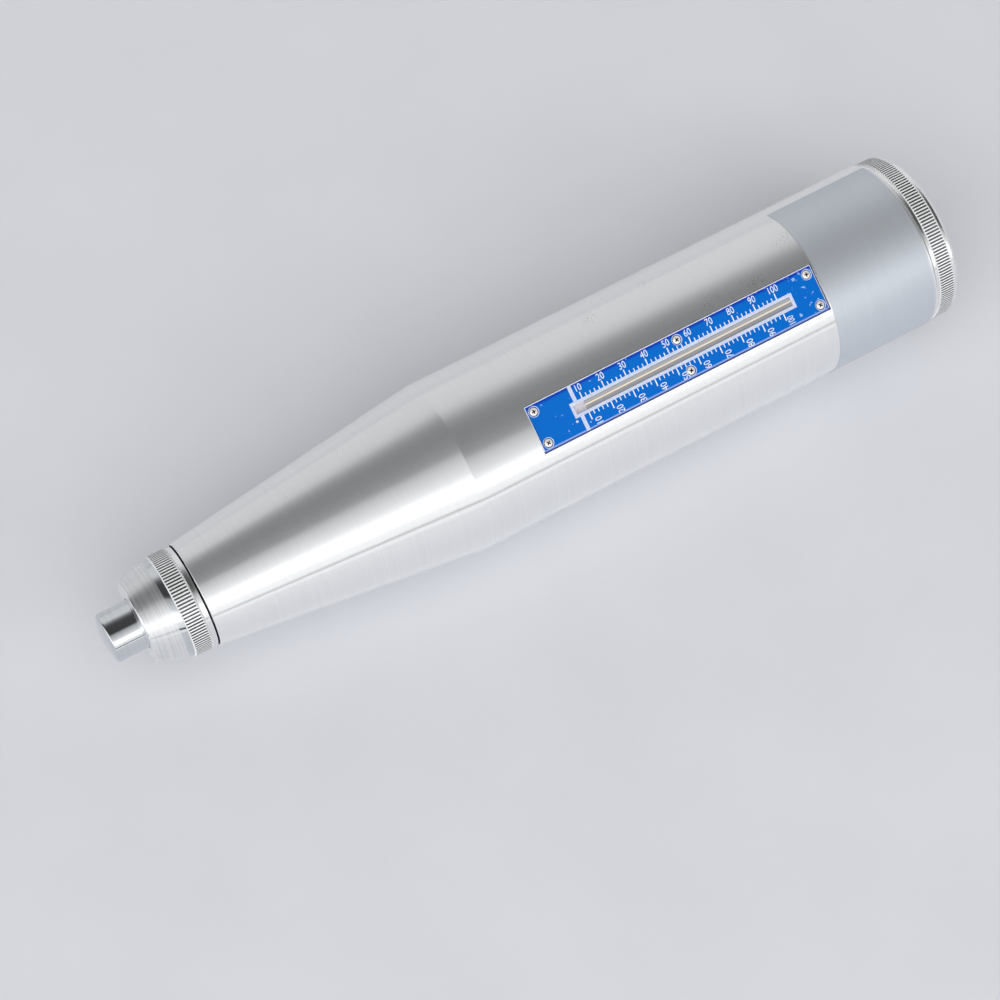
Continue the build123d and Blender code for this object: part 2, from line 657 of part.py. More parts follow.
# Carriage: guide disc with the pawl's slot, the pointer's notch and the lock's hole
with BuildPart() as carriage:
    revolve(
        turned(
            (CARRIAGE_X, BAR_R + FIT),
            (CARRIAGE_X, CARRIAGE_R - EDGE),
            (CARRIAGE_X + EDGE, CARRIAGE_R),
            (CARRIAGE_REAR_X - EDGE, CARRIAGE_R),
            (CARRIAGE_REAR_X, CARRIAGE_R - EDGE),
            (CARRIAGE_REAR_X, BAR_R + FIT),
        ),
        axis=AXIS,
    )
    with BuildSketch(SIDEWAYS.offset(PAWL_SLOT_W)):
        with Locations((CARRIAGE_MID_X, 0)):
            Rectangle(2 * CARRIAGE_THICK, PAWL_THICK + 2 * END_GAP)
    extrude(amount=CARRIAGE_R, mode=Mode.SUBTRACT)
    with BuildSketch(SCALE):
        with Locations((PIVOT_X, PIVOT_W)):
            Circle(PAWL_PIN_R + FIT)
    extrude(amount=CARRIAGE_R, both=True, mode=Mode.SUBTRACT)
    with BuildSketch(SCALE.offset(POINTER_H - END_GAP)):
        with Locations((CARRIAGE_MID_X, 0)):
            Rectangle(2 * CARRIAGE_THICK, POINTER_SLOT_WIDTH + 2 * END_GAP)
    extrude(amount=CARRIAGE_R, mode=Mode.SUBTRACT)
    with BuildSketch(BUTTON.offset(CARRIAGE_R - LOCK_HOLE_DEPTH)):
        with Locations((CARRIAGE_MID_X, 0)):
            Circle(LOCK_PIN_R + LOCK_HOLE_GAP)
    extrude(amount=CARRIAGE_R, mode=Mode.SUBTRACT)
    with BuildSketch(SIDEWAYS.offset(CROSS_PIN_W)):
        with Locations((CARRIAGE_MID_X, 0)):
            Circle(CROSS_PIN_R + FIT)
    extrude(amount=-2 * CARRIAGE_R, mode=Mode.SUBTRACT)
carriage.part.label = "carriage"
export_step(carriage.part, "parts/carriage.step")

# Cross pin that holds the carriage on the guide bar
with BuildPart() as carriage_pin:
    with BuildSketch(SIDEWAYS):
        with Locations((CARRIAGE_MID_X, 0)):
            Circle(CROSS_PIN_R)
    extrude(amount=CROSS_PIN_W - FACE_GAP, both=True)
carriage_pin.part.label = "carriage_pin"
export_step(carriage_pin.part, "parts/carriage_pin.step")

# Pawl: hook over the hammer's rim, eye, and the tail that the trip screw pushes
with BuildPart() as pawl:
    with BuildSketch(SCALE):
        with BuildLine():
            Polyline(
                (HOOK_X, ARM_W + PAWL_ARM),
                (HOOK_X, HOOK_W + PAWL_RAMP),
                (HOOK_X + PAWL_RAMP, HOOK_W),
                (HOOK_REAR_X, HOOK_W),
                (HOOK_REAR_X, ARM_W),
                (PIVOT_X, ARM_W),
                (PIVOT_X, ARM_W + PAWL_ARM),
                close=True,
            )
        make_face()
        with Locations((PIVOT_X, PIVOT_W)):
            Circle(PAWL_EYE_R)
        with BuildLine():
            Polyline(
                (PIVOT_X, LINK_W),
                (TAIL_X, LINK_W),
                (TAIL_X, -PAWL_TAIL_PAST),
                (TAIL_X + PAWL_TAIL, -PAWL_TAIL_PAST),
                (TAIL_X + PAWL_TAIL, LINK_W + PAWL_LINK),
                (PIVOT_X, LINK_W + PAWL_LINK),
                close=True,
            )
        make_face()
        with Locations((PIVOT_X, PIVOT_W)):
            Circle(PAWL_PIN_R + RUN_FIT, mode=Mode.SUBTRACT)
    extrude(amount=PAWL_THICK / 2, both=True)
pawl.part.label = "pawl"
export_step(pawl.part, "parts/pawl.step")

# Pivot pin of the pawl
with BuildPart() as pawl_pin:
    with BuildSketch(SCALE):
        with Locations((PIVOT_X, PIVOT_W)):
            Circle(PAWL_PIN_R)
    extrude(amount=PAWL_PIN_LENGTH / 2, both=True)
pawl_pin.part.label = "pawl_pin"
export_step(pawl_pin.part, "parts/pawl_pin.step")

# Pawl spring: between the carriage and the pawl's tail, pushes the hook in
with BuildPart() as pawl_spring:
    pawl_start = CARRIAGE_REAR_X + END_GAP + PAWL_WIRE_R
    pawl_end = TAIL_X - END_GAP - PAWL_WIRE_R
    pawl_pitch = (pawl_end - pawl_start) / PAWL_TURNS
    pawl_path = coil_path(along_x(pawl_start, PAWL_SPRING_W), PAWL_SPRING_R, pawl_pitch, PAWL_TURNS)
    with BuildSketch(coil_section(pawl_path)):
        Circle(PAWL_WIRE_R)
    sweep(path=pawl_path)
pawl_spring.part.label = "pawl_spring"
export_step(pawl_spring.part, "parts/pawl_spring.step")
print("pawl spring gap", round(coil_gap(pawl_path, PAWL_WIRE_R, PAWL_TURNS), 2))

# Compression spring: between the carriage and the rear cap
with BuildPart() as compression_spring:
    push_start = CARRIAGE_REAR_X + END_GAP + COMPRESSION_WIRE_R
    push_end = REAR_WALL_X - END_GAP - COMPRESSION_WIRE_R
    push_pitch = (push_end - push_start) / COMPRESSION_TURNS
    push_path = coil_path(along_x(push_start), COMPRESSION_R, push_pitch, COMPRESSION_TURNS)
    with BuildSketch(coil_section(push_path)):
        Circle(COMPRESSION_WIRE_R)
    sweep(path=push_path)
compression_spring.part.label = "compression_spring"
export_step(compression_spring.part, "parts/compression_spring.step")
print("compression spring gap", round(coil_gap(push_path, COMPRESSION_WIRE_R, COMPRESSION_TURNS), 2))

# Rear cap: screwed into the barrel, knurled rim, recess for the trip screw's nut
with BuildPart() as rear_cap:
    lip_r = BODY_R - REAR_LIP_IN
    knurl_r = BODY_R - REAR_KNURL_IN
    knurl_rear_x = REAR_KNURL_X + REAR_KNURL_WIDTH
    spigot_x = HOUSING_REAR_X - THREAD_LENGTH + END_GAP
    revolve(
        turned(
            (spigot_x, SPIGOT_R - SPIGOT_WALL),
            (spigot_x, SPIGOT_R - EDGE),
            (spigot_x + EDGE, SPIGOT_R),
            (REAR_LIP_X, SPIGOT_R),
            (REAR_LIP_X, lip_r),
            (REAR_KNURL_X, lip_r),
            (REAR_KNURL_X, knurl_r - KNURL_EDGE),
            (REAR_KNURL_X + KNURL_EDGE, knurl_r),
            (knurl_rear_x - KNURL_EDGE, knurl_r),
            (knurl_rear_x, knurl_r - KNURL_EDGE),
            (knurl_rear_x, lip_r),
            (REAR_X - REAR_CHAMFER, lip_r),
            (REAR_X, lip_r - REAR_CHAMFER),
            (REAR_X, RECESS_R),
            (RECESS_X, RECESS_R),
            (RECESS_X, TRIP_R + FIT),
            (REAR_WALL_X, TRIP_R + FIT),
            (REAR_WALL_X, SPIGOT_R - SPIGOT_WALL),
        ),
        axis=AXIS,
    )
    with BuildSketch(cross_plane(REAR_KNURL_X)):
        Circle(knurl_r + 2 * KNURL_CREST)
        Polygon(*knurl_outline(knurl_r, REAR_TEETH), align=None, mode=Mode.SUBTRACT)
    extrude(amount=REAR_KNURL_WIDTH, mode=Mode.SUBTRACT)
rear_cap.part.label = "rear_cap"
export_step(rear_cap.part, "parts/rear_cap.step")

# Trip screw: slotted, set through the rear cap, pushes the pawl's tail at full stroke
with BuildPart() as trip_screw:
    trip_rear_x = REAR_X - TRIP_BACK
    revolve(
        turned(
            (TRIP_X, 0),
            (TRIP_X, TRIP_R - EDGE),
            (TRIP_X + EDGE, TRIP_R),
            (trip_rear_x, TRIP_R),
            (trip_rear_x, 0),
        ),
        axis=AXIS,
    )
    with BuildSketch(cross_plane(trip_rear_x)):
        Rectangle(TRIP_SLOT, 3 * TRIP_R)
    extrude(amount=-TRIP_SLOT_DEPTH, mode=Mode.SUBTRACT)
trip_screw.part.label = "trip_screw"
export_step(trip_screw.part, "parts/trip_screw.step")

# Lock nut of the trip screw
with BuildPart() as lock_nut:
    with BuildSketch(cross_plane(RECESS_X + FACE_GAP)):
        RegularPolygon(NUT_ACROSS / 2, 6, major_radius=False)
        Circle(TRIP_R + FIT, mode=Mode.SUBTRACT)
    extrude(amount=NUT_THICK)
lock_nut.part.label = "lock_nut"
export_step(lock_nut.part, "parts/lock_nut.step")

# Scale plate: slotted for the pointer, with sunk seats for six screws
with BuildPart() as scale_plate:
    with BuildSketch(SCALE.offset(PLATE_H)):
        with Locations((PLATE_MID_X, 0)):
            Rectangle(PLATE_LENGTH, PLATE_WIDTH)
        with Locations((SLOT_MID_X, 0)):
            Rectangle(SLOT_LENGTH, SLOT_WIDTH, mode=Mode.SUBTRACT)
        with Locations(*SCREW_SPOTS):
            Circle(SCREW_R + RUN_FIT, mode=Mode.SUBTRACT)
    extrude(amount=PLATE_THICK)
    with BuildSketch(SCALE.offset(PLATE_TOP_H)):
        with Locations(*SCREW_SPOTS):
            Circle(SCREW_BORE_R)
    extrude(amount=-SCREW_SINK, mode=Mode.SUBTRACT)
scale_plate.part.label = "scale_plate"
export_step(scale_plate.part, "parts/scale_plate.step")

# Window: clear strip between the plate and its seat in the housing, with a land that fills the slot
with BuildPart() as window:
    strip_top_h = WINDOW_SEAT_H + WINDOW_THICK
    with BuildSketch(SCALE.offset(WINDOW_SEAT_H + FACE_GAP)):
        with Locations((SLOT_MID_X, 0)):
            Rectangle(WINDOW_LENGTH, WINDOW_WIDTH)
    extrude(amount=WINDOW_THICK - FACE_GAP)
    with BuildSketch(SCALE.offset(strip_top_h)):
        with Locations((SLOT_MID_X, 0)):
            Rectangle(SLOT_LENGTH - 2 * RUN_FIT, SLOT_WIDTH - 2 * RUN_FIT)
    extrude(amount=PLATE_TOP_H - WINDOW_SINK - strip_top_h)
window.part.label = "window"
export_step(window.part, "parts/window.step")

# Six screws of the scale plate, with cross recesses
with BuildPart() as scale_screws:
    head_h = PLATE_TOP_H - SCREW_SINK + FIT
    with BuildSketch(SCALE.offset(head_h)):
        with Locations(*SCREW_SPOTS):
            Circle(SCREW_HEAD_R)
    extrude(amount=SCREW_HEAD)
    with BuildSketch(SCALE.offset(head_h)):
        with Locations(*SCREW_SPOTS):
            Circle(SCREW_R)
    extrude(amount=-SCREW_LENGTH)
    with BuildSketch(SCALE.offset(head_h + SCREW_HEAD)):
        with Locations(*SCREW_SPOTS):
            Rectangle(CROSS_LENGTH, CROSS_WIDTH, rotation=45)
            Rectangle(CROSS_LENGTH, CROSS_WIDTH, rotation=-45)
    extrude(amount=-CROSS_DEPTH, mode=Mode.SUBTRACT)
scale_screws.part.label = "scale_screws"
export_step(scale_screws.part, "parts/scale_screws.step")


def rod_plane(x):
    """Plane square to the pointer rod, at a station along it."""
    return Plane(origin=SCALE.from_local_coords((x, 0, ROD_H)), x_dir=SIDE, z_dir=(1, 0, 0))


# Pointer rod under the window
with BuildPart() as pointer_rod:
    with BuildSketch(rod_plane(SUPPORT_X)):
        Circle(ROD_R)
    extrude(amount=SUPPORT_REAR_X + SUPPORT_LENGTH - SUPPORT_X)
pointer_rod.part.label = "pointer_rod"
export_step(pointer_rod.part, "parts/pointer_rod.step")

# Two blocks in the ends of the housing's slot hold the rod
with BuildPart() as rod_supports:
    support_spots = [(SUPPORT_X + SUPPORT_LENGTH / 2, 0), (SUPPORT_REAR_X + SUPPORT_LENGTH / 2, 0)]
    with BuildSketch(SCALE.offset(POINTER_H)):
        with Locations(*support_spots):
            Rectangle(SUPPORT_LENGTH, POINTER_SLOT_WIDTH - 2 * FIT)
    extrude(amount=WINDOW_SEAT_H - POINTER_H)
    with BuildSketch(rod_plane(SUPPORT_X)):
        Circle(ROD_R + FIT)
    extrude(amount=SUPPORT_REAR_X + SUPPORT_LENGTH - SUPPORT_X, mode=Mode.SUBTRACT)
rod_supports.part.label = "rod_supports"
export_step(rod_supports.part, "parts/rod_supports.step")

# Pointer rider on the rod, with a groove for its index line
INDEX_X = RIDER_X + RIDER_LENGTH / 2
with BuildPart() as pointer_rider:
    with BuildSketch(SCALE.offset(POINTER_H)):
        with Locations((INDEX_X, 0)):
            Rectangle(RIDER_LENGTH, POINTER_WIDTH)
    extrude(amount=POINTER_HEIGHT)
    with BuildSketch(rod_plane(RIDER_X)):
        Circle(ROD_R + RUN_FIT)
    extrude(amount=RIDER_LENGTH, mode=Mode.SUBTRACT)
    with BuildSketch(SCALE.offset(POINTER_TOP_H)):
        with Locations((INDEX_X, 0)):
            Rectangle(INDEX_WIDTH, POINTER_WIDTH)
    extrude(amount=-INDEX_DEPTH, mode=Mode.SUBTRACT)
    with BuildSketch(SCALE.offset(POINTER_H)):
        with Locations((INDEX_X, 0)):
            Rectangle(LEAF_LENGTH + 2 * FIT, LEAF_WIDTH + 2 * FIT)
    extrude(amount=LEAF_THICK, mode=Mode.SUBTRACT)
pointer_rider.part.label = "pointer_rider"
export_step(pointer_rider.part, "parts/pointer_rider.step")

# Index line: coloured strip in the rider's groove
with BuildPart() as index_line:
    with BuildSketch(SCALE.offset(POINTER_TOP_H - INDEX_DEPTH + FIT)):
        with Locations((INDEX_X, 0)):
            Rectangle(INDEX_WIDTH - 2 * FIT, POINTER_WIDTH)
    extrude(amount=INDEX_DEPTH - FIT)
index_line.part.label = "index_line"
export_step(index_line.part, "parts/index_line.step")

# Friction leaf let into the underside of the rider
with BuildPart() as pointer_leaf:
    with BuildSketch(SCALE.offset(POINTER_H)):
        with Locations((INDEX_X, 0)):
            Rectangle(LEAF_LENGTH, LEAF_WIDTH)
    extrude(amount=LEAF_THICK - FIT)
pointer_leaf.part.label = "pointer_leaf"
export_step(pointer_leaf.part, "parts/pointer_leaf.step")


def button_profile(*points):
    """Half profile of a piece turned about the button's axis, as (radius, height) corners."""
    spot = BUTTON.from_local_coords((CARRIAGE_MID_X, 0, 0))
    side = Plane(origin=spot, x_dir=(1, 0, 0), z_dir=SIDE)
    with BuildSketch(side) as profile:
        with BuildLine():
            Polyline(*points, close=True)
        make_face()
    return profile.sketch


BUTTON_AXIS = Axis(BUTTON.from_local_coords((CARRIAGE_MID_X, 0, 0)), NORMAL * -1)

# Button bush: pressed into the barrel, keeps the button and carries its spring
with BuildPart() as button_bush:
    revolve(
        button_profile(
            (LOCK_PIN_R + RUN_FIT, BUSH_H),
            (BUSH_R, BUSH_H),
            (BUSH_R, BUSH_TOP_H),
            (BUTTON_R + RUN_FIT, BUSH_TOP_H),
            (BUTTON_R + RUN_FIT, BUSH_TOP_H - BUSH_LIP),
            (BUSH_CHAMBER_R, BUSH_TOP_H - BUSH_LIP),
            (BUSH_CHAMBER_R, BUSH_FLOOR_H),
            (LOCK_PIN_R + RUN_FIT, BUSH_FLOOR_H),
        ),
        axis=BUTTON_AXIS,
    )
button_bush.part.label = "button_bush"
export_step(button_bush.part, "parts/button_bush.step")

# Push button: domed cap with a flange under the bush's lip
with BuildPart() as push_button:
    revolve(
        button_profile(
            (0, FLANGE_H),
            (BUTTON_R + BUTTON_FLANGE_STEP, FLANGE_H),
            (BUTTON_R + BUTTON_FLANGE_STEP, FLANGE_TOP_H),
            (BUTTON_R, FLANGE_TOP_H),
            (BUTTON_R, BUTTON_TOP_H),
            (0, BUTTON_TOP_H),
        ),
        axis=BUTTON_AXIS,
    )
    dome_spot = BUTTON.from_local_coords((CARRIAGE_MID_X, 0, BUTTON_TOP_H - BUTTON_DOME_R))
    with Locations(dome_spot):
        Sphere(BUTTON_DOME_R, mode=Mode.INTERSECT)
    with BuildSketch(BUTTON.offset(FLANGE_H)):
        with Locations((CARRIAGE_MID_X, 0)):
            Circle(BUTTON_RECESS_R)
    extrude(amount=BUTTON_RECESS, mode=Mode.SUBTRACT)
    with BuildSketch(BUTTON.offset(FLANGE_H)):
        with Locations((CARRIAGE_MID_X, 0)):
            Circle(LOCK_PIN_R + FIT)
    extrude(amount=LOCK_HEAD_H - FLANGE_H, mode=Mode.SUBTRACT)
push_button.part.label = "push_button"
export_step(push_button.part, "parts/push_button.step")

# Lock pin: set in the button, enters the carriage's hole when the button is pressed
with BuildPart() as lock_pin:
    with BuildSketch(BUTTON.offset(LOCK_TIP_H)):
        with Locations((CARRIAGE_MID_X, 0)):
            Circle(LOCK_PIN_R)
    extrude(amount=LOCK_HEAD_H - LOCK_TIP_H - FACE_GAP)
lock_pin.part.label = "lock_pin"
export_step(lock_pin.part, "parts/lock_pin.step")

# Button spring: round the lock pin, between the bush's floor and the button
with BuildPart() as button_spring:
    lift_start = BUSH_FLOOR_H + FACE_GAP + BUTTON_WIRE_R
    lift_end = SPRING_TOP_H - FACE_GAP - BUTTON_WIRE_R
    lift_pitch = (lift_end - lift_start) / BUTTON_TURNS
    lift_spot = BUTTON.from_local_coords((CARRIAGE_MID_X, 0, lift_start))
    lift_base = Plane(origin=lift_spot, x_dir=(1, 0, 0), z_dir=NORMAL * -1)
    lift_path = coil_path(lift_base, BUTTON_SPRING_R, lift_pitch, BUTTON_TURNS)
    with BuildSketch(coil_section(lift_path)):
        Circle(BUTTON_WIRE_R)
    sweep(path=lift_path)
button_spring.part.label = "button_spring"
export_step(button_spring.part, "parts/button_spring.step")
print("button spring gap", round(coil_gap(lift_path, BUTTON_WIRE_R, BUTTON_TURNS), 2))

# Label: satin film round the rear of the barrel
with BuildPart() as label:
    start_angle = radians(LABEL_START)
    label_plane = Plane(
        origin=CENTRE, x_dir=(1, 0, 0), z_dir=(0, -cos(start_angle), -sin(start_angle))
    )
    label_in_r = BODY_R + FIT / 2
    label_x = PLATE_X + PLATE_LENGTH + LABEL_FROM_PLATE
    label_length = HOUSING_REAR_X - LABEL_FROM_REAR - label_x
    with BuildSketch(label_plane):
        with Locations((label_x + label_length / 2, label_in_r + LABEL_THICK / 2)):
            Rectangle(label_length, LABEL_THICK)
    revolve(axis=AXIS, revolution_arc=LABEL_SPAN)
label.part.label = "label"
export_step(label.part, "parts/label.step")
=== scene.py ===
# %% [markdown]
# # A concrete rebound hammer
# This tool tests hardened concrete. The steel plunger at its nose is pressed against the wall, a sprung
# mass inside strikes it, and a rider under the blue scale shows how far the mass bounced back. The CAD
# model already holds every piece at its real size and place. In this lesson the pieces that show are
# modelled again with Blender's own tools, and every surface gets the finish that it has on such a tool.

import json
import math

import bmesh
import bpy
from mathutils import Matrix, Quaternion, Vector


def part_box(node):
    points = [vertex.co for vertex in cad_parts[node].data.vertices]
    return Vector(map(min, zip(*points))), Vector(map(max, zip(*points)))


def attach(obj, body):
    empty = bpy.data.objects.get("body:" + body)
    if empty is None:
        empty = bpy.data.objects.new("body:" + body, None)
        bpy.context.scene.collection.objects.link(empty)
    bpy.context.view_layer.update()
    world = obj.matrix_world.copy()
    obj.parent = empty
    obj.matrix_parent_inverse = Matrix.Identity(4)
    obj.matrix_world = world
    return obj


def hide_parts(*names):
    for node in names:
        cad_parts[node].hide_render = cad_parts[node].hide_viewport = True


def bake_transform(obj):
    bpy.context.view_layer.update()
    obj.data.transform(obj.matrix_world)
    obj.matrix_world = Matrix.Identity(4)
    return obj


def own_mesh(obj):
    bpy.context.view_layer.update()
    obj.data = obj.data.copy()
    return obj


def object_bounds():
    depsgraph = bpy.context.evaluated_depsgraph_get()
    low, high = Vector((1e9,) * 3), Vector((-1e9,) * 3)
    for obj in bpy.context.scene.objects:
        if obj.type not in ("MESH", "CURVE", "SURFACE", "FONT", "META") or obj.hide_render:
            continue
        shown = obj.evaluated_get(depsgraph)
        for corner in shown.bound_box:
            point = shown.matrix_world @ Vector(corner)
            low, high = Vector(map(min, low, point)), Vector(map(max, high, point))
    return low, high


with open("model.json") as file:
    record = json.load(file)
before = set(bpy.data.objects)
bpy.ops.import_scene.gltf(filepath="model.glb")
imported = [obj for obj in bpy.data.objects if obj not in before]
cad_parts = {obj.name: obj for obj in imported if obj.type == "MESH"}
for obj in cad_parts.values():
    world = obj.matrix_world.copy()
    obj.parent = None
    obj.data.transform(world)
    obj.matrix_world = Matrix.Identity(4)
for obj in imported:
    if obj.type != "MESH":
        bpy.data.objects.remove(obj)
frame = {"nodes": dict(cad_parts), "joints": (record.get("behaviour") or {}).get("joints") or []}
cad_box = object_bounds()
bpy.ops.object.select_all(action="DESELECT")
MM = 0.001


def ends(node):
    """Where a CAD node starts and ends along the barrel, in millimetres."""
    low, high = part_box(node)
    return low.x / MM, high.x / MM


print(len(frame["nodes"]), "CAD nodes in a box of", [round(s / MM, 1) for s in cad_box[1] - cad_box[0]], "mm")

# %% [markdown]
# ## The camera
# The hammer lies on a table, nose towards us and to the left, and the camera looks down on it from about
# 65 degrees with a long lens. A long lens keeps the barrel's sides nearly parallel. The camera could be
# turned by three angles, but an eye point and a target are easier to read, and Blender can work the turn
# out from them. A small lean about the line of sight finishes it, as a hand leaves a camera.

# %% The camera
EYE = Vector((-194.75, -303.1, 741.3)) * MM
TARGET = Vector((-17.5, -17.07, 27.0)) * MM
LENS = 96.03
LEAN = 0.039

scene = bpy.context.scene
scene.view_settings.view_transform = "Standard"
sight = TARGET - EYE
aim = sight.to_track_quat("-Z", "Y") @ Quaternion((0, 0, 1), LEAN)
bpy.ops.object.camera_add(location=EYE, rotation=aim.to_euler())
scene.camera = bpy.context.object
scene.camera.data.lens = LENS
print("camera", round(sight.length, 3), "m from its target, lens", LENS, "mm")

# %% [markdown]
# ## Colours and nodes
# Colours are written as the hex values of a paint chart. Blender's nodes count in linear light, so one
# function turns a hex value into that. Another adds a node, feeds it and gives back what comes out of it,
# and a third lays bands of colour along a value, so that a finish further on reads as a list of its layers.

# %% Functions for colours and nodes
def colour(hex_value):
    """The linear red, green, blue and alpha of an sRGB hex colour."""
    shares = [int(hex_value[i:i + 2], 16) / 255 for i in (1, 3, 5)]
    return [s / 12.92 if s <= 0.04045 else ((s + 0.055) / 1.055) ** 2.4 for s in shares] + [1.0]


def feed(node, inputs):
    """Fills inputs of a node. Each takes a number, a vector, a colour or a socket to be linked."""
    for name, value in inputs.items():
        if isinstance(value, bpy.types.NodeSocket):
            node.id_data.links.new(value, node.inputs[name])
        else:
            node.inputs[name].default_value = value


def add(tree, kind, inputs=None, stops=None, out=0, **settings):
    """Adds a shader node, sets and feeds it, fills its ramp with stops, and returns one of its outputs."""
    node = tree.nodes.new("ShaderNode" + kind)
    for name, value in settings.items():
        setattr(node, name, value)
    feed(node, inputs or {})
    if stops:
        elements = node.color_ramp.elements
        elements.remove(elements[-1])
        for place, shade in stops[1:]:
            elements.new(place).color = shade
        elements[0].position, elements[0].color = stops[0]
    return node.outputs[out]


def banded(tree, value, span, bands):
    """A ramp of (place, colour) bands over a value that runs from one end of a span to the other."""
    low, high = span
    share = add(tree, "MapRange", {"Value": value, "From Min": low, "From Max": high})
    stops = [((place - low) / (high - low), shade) for place, shade in bands]
    return add(tree, "ValToRGB", {"Fac": share}, stops=stops)


print("white is", colour("#FFFFFF"))

# %% [markdown]
# ## The studio
# Bright metal has hardly a colour of its own: it shows the room. A table-top studio has a pale wall behind,
# a dark ceiling, and a pale wall with a long softbox in front. It could be built of planes and lamps, but
# one ramp of brightness, from the back wall over the ceiling down to the front wall, is easier to tune. The
# thin dark line low in front is the seam between two sheets of paper.

# %% The room
BACK_WALL = Vector((0.545, 0.839, 0.0))
ROOM_TINT = (0.985, 0.995, 1.0)
SOFTBOX = 1.7
ROOM = (  # degrees from the back wall up and over to the front wall, and the brightness there
    (0, 0.72), (38, 0.76), (46, 0.68), (52.5, 0.42), (57.5, 0.25), (63, 0.13), (72, 0.07), (97, 0.06),
    (101, 0.1), (105, 0.42), (110, 0.55), (120, 0.74), (126, 0.86), (131, 1.2), (136, SOFTBOX),
    (150, SOFTBOX), (154, 1.15), (160, 1.02), (166.5, 1.0), (168.2, 0.05), (171.3, 0.05), (173, 1.15),
    (176, 1.0), (180, 0.9),
)

scene.world = bpy.data.worlds.new("studio")
scene.world.use_nodes = True
room = scene.world.node_tree
ray = add(room, "TexCoord", out="Generated")
level = add(room, "VectorMath", {0: ray, 1: BACK_WALL}, operation="DOT_PRODUCT", out="Value")
height = add(room, "SeparateXYZ", {"Vector": ray}, out="Z")
swing = add(room, "Math", {0: height, 1: level}, operation="ARCTAN2")
shades = [(math.radians(angle), [light / SOFTBOX * t for t in ROOM_TINT] + [1.0]) for angle, light in ROOM]
walls = banded(room, swing, (0.0, math.pi), shades)
feed(room.nodes["Background"], {"Color": walls, "Strength": SOFTBOX})
print("a room of", len(ROOM), "shades")

# %% [markdown]
# A wide softbox in front and above gives the table its light and the hammer its soft shadow. The metal
# already shows the room's own bright band, so this lamp is kept out of reflections: otherwise the barrel
# would carry two highlights. A small lamp would be simpler to place, but its shadow would be hard.

# %% The softbox
LAMP_PLACE = Vector((-0.2, -0.6, 1.4))
LAMP_SIDES = (2.6, 2.0)
LAMP_WATTS = 15.0

bpy.ops.object.light_add(type="AREA", location=LAMP_PLACE)
lamp = bpy.context.object
lamp.rotation_euler = (TARGET - LAMP_PLACE).to_track_quat("-Z", "Y").to_euler()
lamp.data.shape = "RECTANGLE"
lamp.data.size, lamp.data.size_y = LAMP_SIDES
lamp.data.energy = LAMP_WATTS
lamp.visible_glossy = False
print("lamp of", LAMP_WATTS, "W")

# %% [markdown]
# ## Finishes
# Every finish starts the same way: a new material with its Principled shader, and the place of each point
# on the piece. All pieces keep their place in their mesh, so Object coordinates are the hammer's own, in
# metres, and a pattern's scale can be worked out from a size in millimetres.

# %% Where a finish starts
TONE_SPAN = (0.35, 0.65)  # where in a noise the darker of two tones ends and the paler one starts
MATT_SHINE = 0.3


def start_finish(name):
    """A new material, its node tree, its shader and the socket that gives a point's place."""
    material = bpy.data.materials.new(name)
    material.use_nodes = True
    tree = material.node_tree
    shader = tree.nodes["Principled BSDF"]
    return material, tree, shader, add(tree, "TexCoord", out="Object")


def noise(tree, place, size_mm, detail=3.0):
    """Noise whose grains are that many millimetres long along X, Y and Z."""
    scale = [1 / (s * MM) for s in size_mm]
    grains = add(tree, "Mapping", {"Vector": place, "Scale": scale})
    return add(tree, "TexNoise", {"Vector": grains, "Scale": 1.0, "Detail": detail})


def grained(name, dark, pale, grain_mm, lift_mm, detail=4.0):
    """A finish with two tones and a relief in grains of one size: its material, tree, shader and grains."""
    material, tree, shader, place = start_finish(name)
    grain = noise(tree, place, grain_mm, detail)
    tones = list(zip(TONE_SPAN, (colour(dark), colour(pale))))
    tone = add(tree, "ValToRGB", {"Fac": grain}, stops=tones)
    relief = add(tree, "Bump", {"Height": grain, "Distance": lift_mm * MM})
    feed(shader, {"Base Color": tone, "Normal": relief})
    return material, tree, shader, grain


def mottled(name, dark, pale, grain_mm, roughness, lift_mm):
    """A paper, plastic, ink, paint or felt with two close tones."""
    material, _, shader, _ = grained(name, dark, pale, (grain_mm,) * 3, lift_mm)
    feed(shader, {"Roughness": roughness, "Specular IOR Level": MATT_SHINE})
    return material


print("a finish starts from its shader and Object coordinates")

# %% [markdown]
# ### The table
# The hammer lies on a sheet of pale studio paper. Paper is matt, and its fibres give it a very faint
# cloudiness, so a soft noise shifts the colour a little. A wide plane is enough, and it is marked as the
# stage, not the object.

# %% The paper floor
FLOOR_SIDE = 14.0
paper = mottled("studio_paper", "#DCDDE2", "#DFE0E5", 60, 0.9, 0.0)
bpy.ops.mesh.primitive_plane_add(size=FLOOR_SIDE, location=(0, 0, cad_box[0].z))
floor = bpy.context.object
floor.name = "floor"
floor.data.materials.append(paper)
print("floor at", round(cad_box[0].z / MM, 2), "mm")

# %% [markdown]
# ### Turned metal
# The barrel, the caps and the plunger were finished on a lathe. Fine turning leaves tiny ridges that spread
# the light wide, most of all round the axis, while their flat tops still show a sharper picture of the room.
# The shader's rough, anisotropic metal is the first, and its coat the second. A mix of two shaders would
# need more nodes. The rings that the eye can follow are a noise, thin along the axis and long round it.

# %% Turned metals
RING_LONG = 60  # millimetres that a ring keeps its tone on its way round the axis
RING_STRETCH = 0.55
SHARP_ROUGHNESS = 0.1


